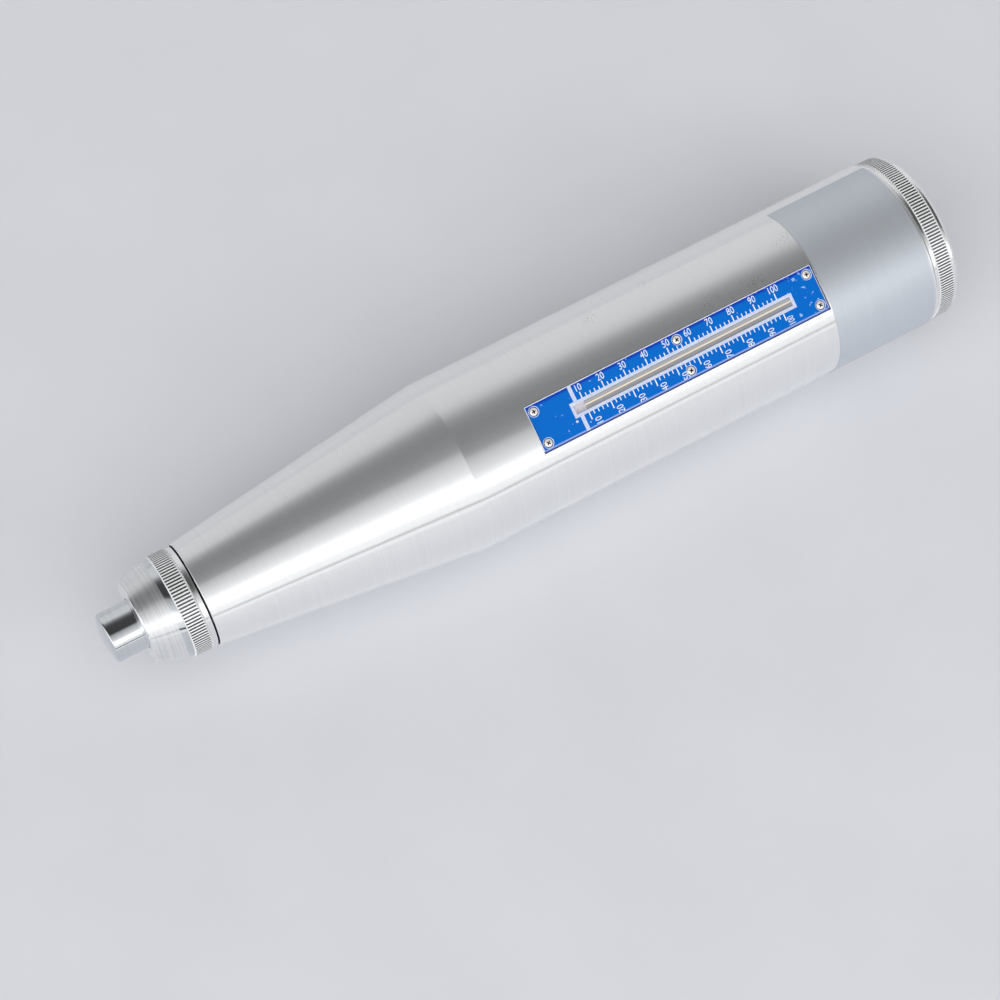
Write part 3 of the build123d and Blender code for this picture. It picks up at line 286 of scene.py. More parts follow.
def metal(name, dark, pale, roughness, grain_mm, lift_mm, detail, gloss_span):
    """A finish whose roughness drifts with its grains between two values: its material, tree and shader."""
    material, tree, shader, grain = grained(name, dark, pale, grain_mm, lift_mm, detail)
    spread = dict(zip(("From Min", "From Max", "To Min", "To Max"), (*gloss_span, *roughness)))
    feed(shader, {"Roughness": add(tree, "MapRange", {"Value": grain, **spread})})
    return material, tree, shader


def turned_metal(name, dark, pale, roughness, ring_mm, lift_mm, sharp=0.0):
    """A metal with rings round the X axis, ring_mm apart and lift_mm high, and a share of sharp light."""
    ring_size = (ring_mm, RING_LONG, RING_LONG)
    material, tree, shader = metal(name, dark, pale, roughness, ring_size, lift_mm, 3.0, TONE_SPAN)
    bend = math.sqrt(sharp)
    feed(shader, {
        "Tangent": add(tree, "Tangent", direction_type="RADIAL", axis="X"),
        "Metallic": 1.0,
        "Anisotropic": RING_STRETCH,
        "Coat Weight": 1.0,
        "Coat IOR": (1 + bend) / (1 - bend),
        "Coat Roughness": SHARP_ROUGHNESS,
    })
    return material


# The rings are drawn a few times as coarse as the real ones, which would not show at this distance.
barrel_aluminium = turned_metal(
    "fine_turned_aluminium", "#F4F5F7", "#F9FAFB", (0.455, 0.485), 0.25, 0.0001, 0.33
)
rear_aluminium = turned_metal("satin_turned_aluminium", "#EEEFF1", "#FAFBFC", (0.42, 0.5), 0.3, 0.0002, 0.33)
cap_steel = turned_metal("ringed_cap_steel", "#DADCDF", "#F2F3F4", (0.36, 0.44), 0.2, 0.001, 0.2)
bright_steel = turned_metal("bright_turned_steel", "#EEEFF0", "#F8F9FA", (0.2, 0.3), 0.4, 0.0002, 0.36)
mirror_steel = turned_metal("mirror_polished_steel", "#D6D9DD", "#DDE0E3", (0.05, 0.09), 0.6, 0.0001)
machine_steel = turned_metal("turned_machine_steel", "#A9ABAE", "#BFC1C4", (0.28, 0.4), 0.4, 0.002)
print("turned metals:", [m.name for m in bpy.data.materials if "turned" in m.name])

# %% [markdown]
# A used barrel has small pits, and stains where oil and concrete dust dried beside the scale. They gather in
# patches. One noise makes the specks and a coarse one the patches: a speck shows only where both are high.
# Painting an image would do it as well, but a noise needs no file and has no seam.

# %% Specks on the barrel
SPECK_MM, PATCH_MM = 0.4, 14
STAINED_X = (0.0, 20 * MM)  # from none to the most of them along the barrel
STAINED_Y = (-9 * MM, -3 * MM)  # and up from the scale
SPECK_EDGE = (1.3, 1.38)
MOST_STAIN = 0.6

tree = barrel_aluminium.node_tree
shader = tree.nodes["Principled BSDF"]
place = add(tree, "TexCoord", out="Object")
specks = noise(tree, place, (SPECK_MM,) * 3, 1.0)
patches = noise(tree, place, (PATCH_MM,) * 3, 1.0)
both = add(tree, "Math", {0: specks, 1: patches}, operation="ADD")
spot = add(tree, "SeparateXYZ", {"Vector": place}).node.outputs
cover = MOST_STAIN
for value, (low, high) in ((spot["X"], STAINED_X), (spot["Y"], STAINED_Y), (both, SPECK_EDGE)):
    rise = {"Value": value, "From Min": low, "From Max": high, "To Max": cover}
    cover = add(tree, "MapRange", rise)
clean = shader.inputs["Base Color"].links[0].from_socket
stained = {"Fac": cover, "Color1": clean, "Color2": colour("#8A8272")}
feed(shader, {"Base Color": add(tree, "MixRGB", stained)})
print("specks of", SPECK_MM, "mm in patches of", PATCH_MM, "mm")

# %% [markdown]
# ### Tumbled metal
# Small steel parts are oiled or blackened, nickelled or left bright, and none of them is a flat grey:
# handling and tumbling leave soft clouds of tone and gloss. One function makes them from two tones, two
# roughnesses and a grain. Two of them are painted shade: a grey one in the grooves of the knurls, and a black
# one in the seam behind the nose cap, its bore and the screws' recesses. The tops of the teeth are rounded by
# wear, and their white, less metallic finish is a painted highlight for the light they catch from all sides.

# %% Tumbled metals
CLOUD_SPAN = (0.3, 0.7)  # where in a noise the gloss drifts


def tumbled_metal(name, dark, pale, roughness, grain_mm, lift_mm, bare=1.0):
    """A metal whose tone and gloss drift in grains of one size. A less bare one looks whiter."""
    grain_size = (grain_mm,) * 3
    material, _, shader = metal(name, dark, pale, roughness, grain_size, lift_mm, 4.0, CLOUD_SPAN)
    feed(shader, {"Metallic": bare})
    return material


oiled_steel = tumbled_metal("oiled_hardened_steel", "#6E7073", "#8B8D90", (0.3, 0.42), 1.2, 0.004)
spring_wire = tumbled_metal("drawn_spring_wire", "#84878B", "#A4A7AB", (0.22, 0.34), 0.8, 0.003)
nickel_plate = tumbled_metal("nickel_plate", "#F4EFE4", "#FFFDF6", (0.35, 0.45), 0.5, 0.002, 0.4)
# a white, less metallic finish: a painted highlight on the knurl crests
crest_highlight_steel = tumbled_metal("worn_crest_painted_highlight", "#F0F1F2", "#FFFFFF", (0.35, 0.5), 0.4, 0.001, 0.3)
drawn_brass = tumbled_metal("drawn_brass", "#E0BE84", "#F2D8A8", (0.2, 0.32), 0.6, 0.002)
# painted shade for the knurl grooves
groove_shade_steel = tumbled_metal("knurl_groove_painted_shade", "#85878A", "#9FA1A4", (0.4, 0.55), 0.6, 0.002)
# black painted shade for the seam behind the nose cap, the cap's bore and the screw recesses
shade_black_steel = tumbled_metal("painted_shade_black", "#151617", "#232425", (0.5, 0.6), 1.0, 0.002)
print("tumbled metals:", [m.name for m in (oiled_steel, spring_wire, nickel_plate, drawn_brass)])

# %% [markdown]
# ## Turning on the lathe
# Most of the hammer is round, so most of it is drawn as half a section and spun about the X axis, as a lathe
# would make it. A cylinder could be extruded and scaled ring by ring, but a section shows the whole piece
# at a glance. The section starts as one point and is extruded along its outline. A third number at a
# corner is the rounding there, which a vertex bevel makes before the spin.

# %% Helpers for picking and turning
ON_SPOT = 0.001 * MM


def pick(piece, kind, test):
    """In edit mode, selects the vertices, edges or faces that pass the test, and nothing else."""
    bpy.ops.mesh.select_mode(type=kind)
    bpy.ops.mesh.select_all(action="DESELECT")
    mesh = bmesh.from_edit_mesh(piece.data)
    for part in {"VERT": mesh.verts, "EDGE": mesh.edges, "FACE": mesh.faces}[kind]:
        if test(part):
            part.select_set(True)
    mesh.select_flush_mode()
    bmesh.update_edit_mesh(piece.data)


def turn(name, outline, steps, sweep=math.tau):
    """Spins an outline of (x, radius) or (x, radius, rounding), in millimetres, about the X axis."""
    points = [Vector((corner[0], 0, corner[1])) * MM for corner in outline]
    bpy.ops.mesh.primitive_plane_add(size=MM, location=points[0])
    piece = bpy.context.object
    piece.name = name
    bpy.ops.object.transform_apply()
    bpy.ops.object.mode_set(mode="EDIT")
    bpy.ops.mesh.select_mode(type="VERT")
    bpy.ops.mesh.select_all(action="SELECT")
    bpy.ops.mesh.merge(type="CENTER")
    solid = points[0].z == 0
    path = points if solid else points + points[:1]
    for here, there in zip(path, path[1:]):
        bpy.ops.mesh.extrude_vertices_move(TRANSFORM_OT_translate={"value": there - here})
    bpy.ops.mesh.select_all(action="SELECT")
    bpy.ops.mesh.remove_doubles(threshold=ON_SPOT)
    for point, corner in zip(points, outline):
        if len(corner) == 3:
            pick(piece, "VERT", lambda vert: (vert.co - point).length < ON_SPOT)
            bpy.ops.mesh.bevel(offset=corner[2] * MM, segments=3, affect="VERTICES")
    bpy.ops.mesh.select_all(action="SELECT")
    bpy.ops.mesh.spin(steps=steps, angle=sweep, center=(0, 0, 0), axis=(1, 0, 0))
    bpy.ops.mesh.select_all(action="SELECT")
    bpy.ops.mesh.remove_doubles(threshold=ON_SPOT)
    bpy.ops.mesh.fill_holes(sides=len(outline))
    bpy.ops.mesh.select_all(action="SELECT")
    bpy.ops.mesh.normals_make_consistent(inside=False)
    bpy.ops.object.mode_set(mode="OBJECT")
    return piece


print("points closer than", ON_SPOT / MM, "mm count as one")

# %% [markdown]
# A few more helpers do what a hand does after the turning: make a piece the active one, apply a modifier,
# cut one shape out of another, shade it, move it to its place, and give it its finish and its body.
# A piece's place always ends up in its mesh, because the finishes count on that.

# %% Helpers for cutting, shading and placing
CRISP = 35  # degrees from which an edge stays sharp


def activate(piece):
    """Makes a piece the one that operators act on."""
    bpy.ops.object.select_all(action="DESELECT")
    piece.select_set(True)
    bpy.context.view_layer.objects.active = piece


def apply_modifier(piece, kind, **settings):
    """Adds a modifier to a piece, sets it and applies it."""
    activate(piece)
    modifier = piece.modifiers.new(kind, kind)
    for name, value in settings.items():
        setattr(modifier, name, value)
    bpy.ops.object.modifier_apply(modifier=modifier.name)


def cut(piece, cutter):
    """Takes the cutter's shape out of a piece, and throws the cutter away."""
    apply_modifier(piece, "BOOLEAN", operation="DIFFERENCE", object=cutter, solver="EXACT")
    bpy.data.objects.remove(cutter)


def smooth(piece, sharp_from=CRISP):
    """Shades a piece smooth except at edges sharper than so many degrees, with its flats kept flat."""
    activate(piece)
    bpy.ops.object.shade_smooth_by_angle(angle=math.radians(sharp_from))
    apply_modifier(piece, "WEIGHTED_NORMAL", keep_sharp=True)


def settle(piece, place):
    """Moves a piece to its place and keeps that place in its mesh, with its object at the origin."""
    activate(piece)
    piece.matrix_world = place
    bpy.ops.object.transform_apply()


def dress(piece, place, body, finishes, nodes=(), sharp_from=None):
    """Settles and shades a piece, and gives it finishes, a body and the CAD nodes it stands for."""
    settle(piece, place)
    if sharp_from:
        smooth(piece, sharp_from)
    for finish in finishes:
        piece.data.materials.append(finish)
    if body:
        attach(piece, body)
    if nodes:
        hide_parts(*nodes)
    print(piece.name, "has", len(piece.data.polygons), "faces and rides on", body or "two bodies")


def paint(piece, finish, test):
    """Gives the faces that pass the test another one of the piece's finishes."""
    activate(piece)
    piece.active_material_index = piece.data.materials.find(finish.name)
    bpy.ops.object.mode_set(mode="EDIT")
    pick(piece, "FACE", test)
    bpy.ops.object.material_slot_assign()
    bpy.ops.object.mode_set(mode="OBJECT")


print("helpers ready")

# %% [markdown]
# ## Places on the hammer
# Three frames save a lot of arithmetic. The barrel's axis lies level, at half its height. The scale is
# rolled round that axis towards us, and the lock button sits right across from it, so the roll can be read
# from the axis of the button's own joint. Anything on the scale is modelled flat and then rolled into place.

# %% The frames of the barrel, the scale and the button
press = next(joint for joint in frame["joints"] if joint["name"] == "button_press")
button_way = Vector(press["axis"])
ROLL = math.atan2(button_way.y, -button_way.z)
housing_low, housing_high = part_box("housing")
AXIS_Z = (housing_low.z + housing_high.z) / 2
button_x = sum(ends("push_button")) / 2


def shift(x, w=0.0, h=0.0):
    """A move in millimetres: along the barrel, across the scale and out from the axis."""
    return Matrix.Translation((x * MM, w * MM, h * MM))


def ring(x_from=-math.inf, x_to=math.inf, r_from=-math.inf, r_to=math.inf):
    """A test for faces whose middle lies in these spans along the barrel's axis and out from it."""
    def inside(face):
        middle = face.calc_center_median()
        x, r = middle.x / MM, math.hypot(middle.y, middle.z - AXIS_Z) / MM
        return x_from < x < x_to and r_from < r < r_to

    return inside


BARREL = Matrix.Translation((0, 0, AXIS_Z))
SCALE = BARREL @ Matrix.Rotation(ROLL, 4, "X")
BUTTON = SCALE @ shift(button_x) @ Matrix.Rotation(math.pi / 2, 4, "Y")

print("axis at", round(AXIS_Z / MM, 2), "mm, scale rolled", round(math.degrees(ROLL), 2), "degrees")

# %% [markdown]
# ## The housing
# The housing is one long aluminium shell: a short neck for the nose cap, a slender cone, a crisp shoulder
# and a plain barrel. It could be a cylinder with loops scaled in, but the section says it in twelve points.
# The ends of its neighbours give the stations, so the shell meets them without fitting.

# %% Turn the shell
BARREL_R, BORE_R = 27.0, 21.5
NECK_R, NECK_BORE_R, CONE_TIP_R, CONE_BORE_R = 13.5, 10.0, 16.4, 13.38
REAR_SEAT_R = 23.2
SEAM, REAR_GAP = 0.4, 0.3
PLAIN_BARREL = 22.5  # from the shoulder to the scale plate
BORE_AHEAD, CONE_BORE_AHEAD = 3.5, 67.5  # how far the bores start ahead of the shoulder

housing_start, housing_end = ends("housing")
cap_start, cap_end = ends("nose_cap")
rear_start, rear_end = ends("rear_cap")
plate_start, plate_end = ends("scale_plate")
cone_start = cap_end + SEAM
shoulder = plate_start - PLAIN_BARREL
bore_start, cone_bore_start = shoulder - BORE_AHEAD, shoulder - CONE_BORE_AHEAD
seat_end = rear_start - REAR_GAP

housing = turn("barrel_housing", [
    (housing_start, NECK_BORE_R),
    (housing_start, NECK_R),
    (cone_start, NECK_R),
    (cone_start, CONE_TIP_R, 0.3),
    (shoulder, BARREL_R),
    (housing_end, BARREL_R, 0.3),
    (housing_end, REAR_SEAT_R),
    (seat_end, REAR_SEAT_R),
    (seat_end, BORE_R),
    (bore_start, BORE_R),
    (cone_bore_start, CONE_BORE_R),
    (cone_bore_start, NECK_BORE_R),
], 256)
settle(housing, BARREL)
print("shell", [round(d / MM, 1) for d in housing.dimensions], "mm")

# %% [markdown]
# The scale lies in a flat-bottomed pocket that is milled into the barrel. The pocket, the window's seat, the
# pointer's slot, the screw holes and the button's hole are cut by booleans, in the order in which a
# machinist would do it. The neck is painted black, because the seam beside it is always in the dark.

# %% Cut the pocket and the holes
OVER, NEAR = 8.0, 0.01
FIT, CLOSE_FIT = 0.15, 0.02
PLATE_W, WINDOW_W, POINTER_W = 7.4, 3.7, 2.88
POCKET_FLOOR, SEAT_FLOOR, SLOT_FLOOR = 23.916, 22.966, 19.666
SCREW_X = [plate_start + along for along in (2.3, 50.95, 96.2)]
SCREW_W = 5.03
SCREW_HOLE_R, SCREW_DRILL = 0.82, (22.3, 26.0)
BUSH_HOLE_R, BUSH_DRILL = 7.0, (15.0, 35.0)


def block(name, x, w, h):
    """A box with spans in millimetres along the barrel, across the scale and out from the axis."""
    middle = [(low + high) / 2 * MM for low, high in (x, w, h)]
    bpy.ops.mesh.primitive_cube_add(size=MM, location=middle, scale=[high - low for low, high in (x, w, h)])
    piece = bpy.context.object
    piece.name = name
    bpy.ops.object.transform_apply()
    return piece


def rod(name, start, end, radius, steps):
    """A plain round rod along the X axis."""
    return turn(name, [(start, 0), (start, radius), (end, radius), (end, 0)], steps)


for node, fit, half_width, floor_h, top_h in (
    ("scale_plate", FIT, PLATE_W, POCKET_FLOOR, POCKET_FLOOR + OVER),
    ("window", CLOSE_FIT, WINDOW_W, SEAT_FLOOR, SEAT_FLOOR + OVER),
    ("pointer_rod", CLOSE_FIT, POINTER_W, SLOT_FLOOR, SEAT_FLOOR + OVER),
):
    start, end = ends(node)
    reach = half_width + fit
    cutter = block("cutter", (start - fit, end + fit), (-reach, reach), (floor_h, top_h))
    settle(cutter, SCALE)
    cut(housing, cutter)

SCREW_SPOTS = [(x, w) for x in SCREW_X for w in (-SCREW_W, SCREW_W)]
OUTWARD = Matrix.Rotation(-math.pi / 2, 4, "Y")
for x, w in SCREW_SPOTS:
    drill = rod("drill", *SCREW_DRILL, SCREW_HOLE_R, 24)
    settle(drill, SCALE @ shift(x, w) @ OUTWARD)
    cut(housing, drill)

drill = rod("drill", *BUSH_DRILL, BUSH_HOLE_R, 64)
settle(drill, BUTTON)
cut(housing, drill)
dress(housing, Matrix(), "housing", [barrel_aluminium, shade_black_steel], ["housing"], 5)
# the neck beside the seam is black as painted shade
paint(housing, shade_black_steel, ring(x_to=cone_start + NEAR))

# %% [markdown]
# ## The nose cap
# A steel cap screws onto the neck and keeps the plunger's seal in. It has a coned front with plain turning
# rings, a polished bevel, a band of straight teeth to grip and a plain collar. The teeth could be an array
# of ridges, but on the real cap a wheel presses grooves into a plain band. So the band is turned with eight
# steps to a tooth, and three of every eight are sunk to the root.

# %% Turn the nose cap and press its teeth
STEPS_PER_TOOTH = 8
GROOVE = (0.56, 0.94)  # the part of a tooth's pitch that is pressed in
TOOTH_END = 0.35
KNURL_CRISP = 12
CAP_TEETH = 100
CAP_CREST_R, CAP_EDGE_R, CAP_ROOT_R, CAP_BEVEL_R = 16.1, 15.75, 15.65, 15.6
CAP_COLLAR_R, CAP_CONE_R, CAP_FRONT_R, CAP_HOLE_R = 15.8, 15.3, 12.8, 8.0
COLLAR, BAND, BEVEL = 1.8, 5.7, 1.9  # lengths from the rear of the cap to its front
RING_DEPTH, FELT_DEPTH = 10.15, 14.75  # steps of the bore, from the rear of the cap
THREAD_R, FELT_R = 13.58, 11.3
BAND_STEP = 0.05  # the bevel ends this far ahead of the teeth
COLLAR_CHAMFER, COLLAR_DROP = 0.2, 0.25


def knurl(piece, band, ring_radii, root_r, teeth):
    """Sinks the grooves of straight teeth into the rings of a band that runs from x to x."""
    def in_groove(vert):
        phase = math.atan2(vert.co.y, vert.co.z) / math.tau * teeth % 1
        on_ring = abs(math.hypot(vert.co.y, vert.co.z) - ring_r * MM) < 10 * ON_SPOT
        in_band = band[0] - NEAR < vert.co.x / MM < band[1] + NEAR
        return on_ring and in_band and GROOVE[0] < phase < GROOVE[1]

    activate(piece)
    bpy.ops.object.mode_set(mode="EDIT")
    for ring_r in ring_radii:
        pick(piece, "VERT", in_groove)
        sink = root_r / ring_r
        bpy.ops.transform.resize(value=(1, sink, sink), center_override=(0, 0, 0))
    bpy.ops.object.mode_set(mode="OBJECT")


collar_start = cap_end - COLLAR
cap_band = (collar_start - BAND, collar_start)
bevel_start = cap_band[0] - BEVEL
ring_step, felt_floor = cap_end - RING_DEPTH, cap_end - FELT_DEPTH
nose_cap = turn("knurled_nose_cap", [
    (cap_start, CAP_HOLE_R, 0.2),
    (cap_start, CAP_FRONT_R, 0.5),
    (bevel_start, CAP_CONE_R),
    (cap_band[0] - BAND_STEP, CAP_BEVEL_R),
    (cap_band[0], CAP_EDGE_R),
    (cap_band[0] + TOOTH_END, CAP_CREST_R),
    (cap_band[1] - TOOTH_END, CAP_CREST_R),
    (cap_band[1], CAP_EDGE_R),
    (cap_band[1], CAP_COLLAR_R - COLLAR_DROP),
    (cap_band[1] + COLLAR_CHAMFER, CAP_COLLAR_R),
    (cap_end, CAP_COLLAR_R, 0.15),
    (cap_end, THREAD_R),
    (ring_step, THREAD_R),
    (ring_step, FELT_R),
    (felt_floor, FELT_R),
    (felt_floor, CAP_HOLE_R),
], STEPS_PER_TOOTH * CAP_TEETH)
knurl(nose_cap, cap_band, (CAP_CREST_R, CAP_EDGE_R), CAP_ROOT_R, CAP_TEETH)
cap_finishes = [cap_steel, bright_steel, mirror_steel, crest_highlight_steel, groove_shade_steel, shade_black_steel]
dress(nose_cap, BARREL, "housing", cap_finishes, ["nose_cap"], KNURL_CRISP)

# %% [markdown]
# The cap carries six finishes: turned rings on its cone, a mirror polish on the bevel, a bright collar, worn
# crests whose white is a painted highlight, painted shade in the grooves, and painted black shade where it
# faces the housing and in its bore. Six objects would do, but one piece of steel is one mesh, so its faces
# are picked by their place along the axis and out from it.

# %% Finish the nose cap's faces
FRONT_EDGE, BORE_MOUTH = 0.6, 1.0
REAR_EDGE, BORE_SKIN = 0.05, 0.1
GROOVE_END, GROOVE_DEPTH = 0.2, 0.15  # faces further in and further down count as groove


def grooves(band, crest_r):
    """A test for the faces of a knurled band that lie lower than its crests."""
    return ring(band[0] + GROOVE_END, band[1] - GROOVE_END, r_to=crest_r - GROOVE_DEPTH)


for finish, test in (
    (bright_steel, ring(bevel_start)),
    (bright_steel, ring(x_to=cap_start + FRONT_EDGE)),
    (mirror_steel, ring(bevel_start, cap_band[0])),
    # the crests get a painted highlight; the grooves, the rear face and the bore get painted shade
    (crest_highlight_steel, ring(*cap_band)),
    (groove_shade_steel, grooves(cap_band, CAP_CREST_R)),
    (shade_black_steel, ring(cap_end - REAR_EDGE)),
    (shade_black_steel, ring(cap_start + BORE_MOUTH, r_to=THREAD_R + BORE_SKIN)),
):
    paint(nose_cap, finish, test)
print("nose cap in", len(nose_cap.data.materials), "finishes")

# %% [markdown]
# ## The plunger
# The plunger is a hardened and polished steel rod with a gently domed striking face. It slides in and out,
# so it rides on its own body. The dome is an arc of a large circle, worked out by a formula, and the edge
# of the face is rounded. A flat disc would be quicker, but it would flash all at once as the view turns.

# %% Turn the plunger
PLUNGER_R, PLUNGER_BORE_R, PLUNGER_COLLAR_R = 7.7, 4.08, 8.7
PLUNGER_COLLAR, PLUNGER_BORE = 4.0, 64.5  # lengths from its rear end
DOME_R, FACE_R = 25.0, 7.2
DOME_STEPS, RIM_BACK = 6, 0.5


def dome(centre_x, dome_r, rim_r, way):
    """The points of a turned dome from its tip to its rim, with the tip towards -X or +X."""
    leans = [math.asin(rim_r / dome_r) * step / DOME_STEPS for step in range(DOME_STEPS + 1)]
    return [(centre_x + way * dome_r * math.cos(lean), dome_r * math.sin(lean)) for lean in leans]


tip, plunger_end = ends("plunger")
collar_x, bore_x = plunger_end - PLUNGER_COLLAR, plunger_end - PLUNGER_BORE
face = dome(tip + DOME_R, DOME_R, FACE_R, -1)
plunger = turn("striking_plunger", face + [
    (face[-1][0] + RIM_BACK, PLUNGER_R, 0.2),
    (collar_x, PLUNGER_R),
    (collar_x, PLUNGER_COLLAR_R),
    (plunger_end, PLUNGER_COLLAR_R, 0.4),
    (plunger_end, PLUNGER_BORE_R),
    (bore_x, PLUNGER_BORE_R),
    (bore_x, 0),
], 128)
dress(plunger, BARREL, "plunger", [mirror_steel], ["plunger"], CRISP)

# %% [markdown]
# ## The rear cap
# The rear cap screws into the barrel and takes the push of the long spring. Its rim is knurled too, between
# two bright rings, and a chamfer runs round the end face. In a recess of that face lie the trip screw and
# its lock nut. It is turned and knurled in the same way as the nose cap.

# %% Turn the rear cap
REAR_CREST_R, REAR_EDGE_R, REAR_RIM_R, REAR_FACE_R = 26.65, 26.3, 26.2, 25.2
REAR_TEETH = 168
REAR_WALL_R, REAR_THREAD_R, RECESS_R, TRIP_HOLE_R = 20.42, 23.12, 8.0, 2.52

LIP, WALL, RECESS, CHAMFER = 8.1, 7.0, 4.0, 1.0  # lengths from the rear face
REAR_BAND = (7.1, 1.9)

lip_start, wall_x, recess_x = rear_end - LIP, rear_end - WALL, rear_end - RECESS
rear_band = [rear_end - along for along in REAR_BAND]
rear_cap = turn("knurled_rear_cap", [
    (rear_start, REAR_WALL_R),
    (rear_start, REAR_THREAD_R, 0.4),
    (lip_start, REAR_THREAD_R),
    (lip_start, REAR_RIM_R, 0.1),
    (rear_band[0], REAR_RIM_R),
    (rear_band[0], REAR_EDGE_R),
    (rear_band[0] + TOOTH_END, REAR_CREST_R),
    (rear_band[1] - TOOTH_END, REAR_CREST_R),
    (rear_band[1], REAR_EDGE_R),
    (rear_band[1], REAR_RIM_R),
    (rear_end - CHAMFER, REAR_RIM_R, 0.15),
    (rear_end, REAR_FACE_R, 0.15),
    (rear_end, RECESS_R, 0.3),
    (recess_x, RECESS_R),
    (recess_x, TRIP_HOLE_R),
    (wall_x, TRIP_HOLE_R),
    (wall_x, REAR_WALL_R),
], STEPS_PER_TOOTH * REAR_TEETH)
knurl(rear_cap, rear_band, (REAR_CREST_R, REAR_EDGE_R), REAR_RIM_R, REAR_TEETH)
rear_finishes = [rear_aluminium, bright_steel, crest_highlight_steel, groove_shade_steel]
dress(rear_cap, BARREL, "housing", rear_finishes, ["rear_cap"], KNURL_CRISP)
paint(rear_cap, bright_steel, ring(lip_start, r_from=REAR_FACE_R))
# the crests get a painted highlight and the grooves painted shade
paint(rear_cap, crest_highlight_steel, ring(*rear_band))
paint(rear_cap, groove_shade_steel, grooves(rear_band, REAR_CREST_R))

# %% [markdown]
# ## The trip screw and its nut
# The trip screw sets how far the hammer is drawn before it lets go. It is a plain slotted screw, held by a
# thin six-sided nut. A nut's corners are turned off before it leaves the lathe, so the six-sided bar is
# crossed with a turned blank that has both rims bevelled, which a plain six-sided cylinder would lack.

# %% Make the trip screw and its nut
TRIP_R, TRIP_SLOT_DEPTH, TRIP_SLOT_LONG, TRIP_SLOT_W = 2.5, 1.0, 4, 0.4
NUT_FLATS, NUT_BEVEL, NUT_OVER = 8.0, 0.4, 0.1

trip_start, trip_end = ends("trip_screw")
trip_screw = turn("trip_screw_slotted", [
    (trip_start, 0),
    (trip_start, TRIP_R, 0.5),
    (trip_end, TRIP_R, 0.3),
    (trip_end, 0),
], 48)
slot_x = (trip_end - TRIP_SLOT_DEPTH, trip_end + TRIP_SLOT_DEPTH)
cut(trip_screw, block("slot cutter", slot_x, (-TRIP_SLOT_LONG, TRIP_SLOT_LONG), (-TRIP_SLOT_W, TRIP_SLOT_W)))
dress(trip_screw, BARREL, "housing", [oiled_steel], ["trip_screw"], CRISP)

nut_start, nut_end = ends("lock_nut")
corner_r = NUT_FLATS / math.sqrt(3)
bpy.ops.mesh.primitive_cylinder_add(
    vertices=6,
    radius=corner_r * MM,
    depth=(nut_end - nut_start) * MM,
    location=((nut_start + nut_end) / 2 * MM, 0, 0),
    rotation=(0, math.pi / 2, 0),
)
lock_nut = bpy.context.object
lock_nut.name = "lock_nut_hexagon"
bpy.ops.object.transform_apply()
blank = turn("blank", [
    (nut_start, 0),
    (nut_start, NUT_FLATS / 2),
    (nut_start + NUT_BEVEL, corner_r + NUT_OVER),
    (nut_end - NUT_BEVEL, corner_r + NUT_OVER),
    (nut_end, NUT_FLATS / 2),
    (nut_end, 0),
], 64)
apply_modifier(lock_nut, "BOOLEAN", operation="INTERSECT", object=blank, solver="EXACT")
bpy.data.objects.remove(blank)
cut(lock_nut, rod("drill", nut_start - 1, nut_end + 1, TRIP_HOLE_R, 48))
dress(lock_nut, BARREL, "housing", [oiled_steel], ["lock_nut"], 20)

# %% [markdown]
# ## The lock button
# Across from the scale a domed button locks the plunger in. It stands in a steel bush that is pressed into
# the barrel, and a small spring pushes it out. Button and bush are turned like the rest, along X, and then
# swung round to point out of the barrel on the far side of the scale.

# %% Turn the button and its bush
BUTTON_DOME_R, BUTTON_R, BUTTON_NECK_R, PIN_R = 8.0, 5.0, 3.4, 1.52
FLANGE_H, FLANGE_TOP, FLANGE_R = 24.35, 25.05, 5.6
NECK_H, PIN_SEAT_H = 26.55, 27.751
DOME_SINK = 0.05
dome_centre = (BARREL_R - BUTTON_DOME_R) / math.cos(ROLL) - DOME_SINK
push_button = turn("lock_button", [
    (PIN_SEAT_H, 0),
    (PIN_SEAT_H, PIN_R),
    (NECK_H, PIN_R),
    (NECK_H, BUTTON_NECK_R),
    (FLANGE_H, BUTTON_NECK_R),
    (FLANGE_H, FLANGE_R),
    (FLANGE_TOP, FLANGE_R),
    (FLANGE_TOP, BUTTON_R),
] + dome(dome_centre, BUTTON_DOME_R, BUTTON_R, 1)[::-1], 96)
dress(push_button, BUTTON, "button", [mirror_steel], ["push_button"], CRISP)

BUSH_FLOOR, BUSH_TOP, BUSH_R, BUSH_PIN_R = 21.55, 26.0, 6.98, 1.58
SPRING_FLOOR = 22.3
SLIDE_GAP, STOP_GAP = 0.08, 0.05
lip_h, lip_r, chamber_r = FLANGE_TOP + STOP_GAP, BUTTON_R + SLIDE_GAP, FLANGE_R + SLIDE_GAP
button_bush = turn("lock_button_bush", [
    (BUSH_FLOOR, BUSH_PIN_R),
    (BUSH_FLOOR, BUSH_R),
    (BUSH_TOP, BUSH_R, 0.25),
    (BUSH_TOP, lip_r),
    (lip_h, lip_r),
    (lip_h, chamber_r),
    (SPRING_FLOOR, chamber_r),
    (SPRING_FLOOR, BUSH_PIN_R),
], 96)
dress(button_bush, BUTTON, "housing", [machine_steel], ["button_bush"], CRISP)

# %% [markdown]
# ## Springs
# Five springs work inside: one throws the hammer, one pushes everything out again, and three small ones
# serve the pawl, the button and the plunger's cushion. A spring could be a curve with a round bevel, but
# the Screw modifier winds a wire circle round an axis in one go.

# %% Wind the springs
WIRE_SIDES = 12
STEPS_PER_TURN = 32
WIRE_CRISP = 60
PAWL_W = 9.0


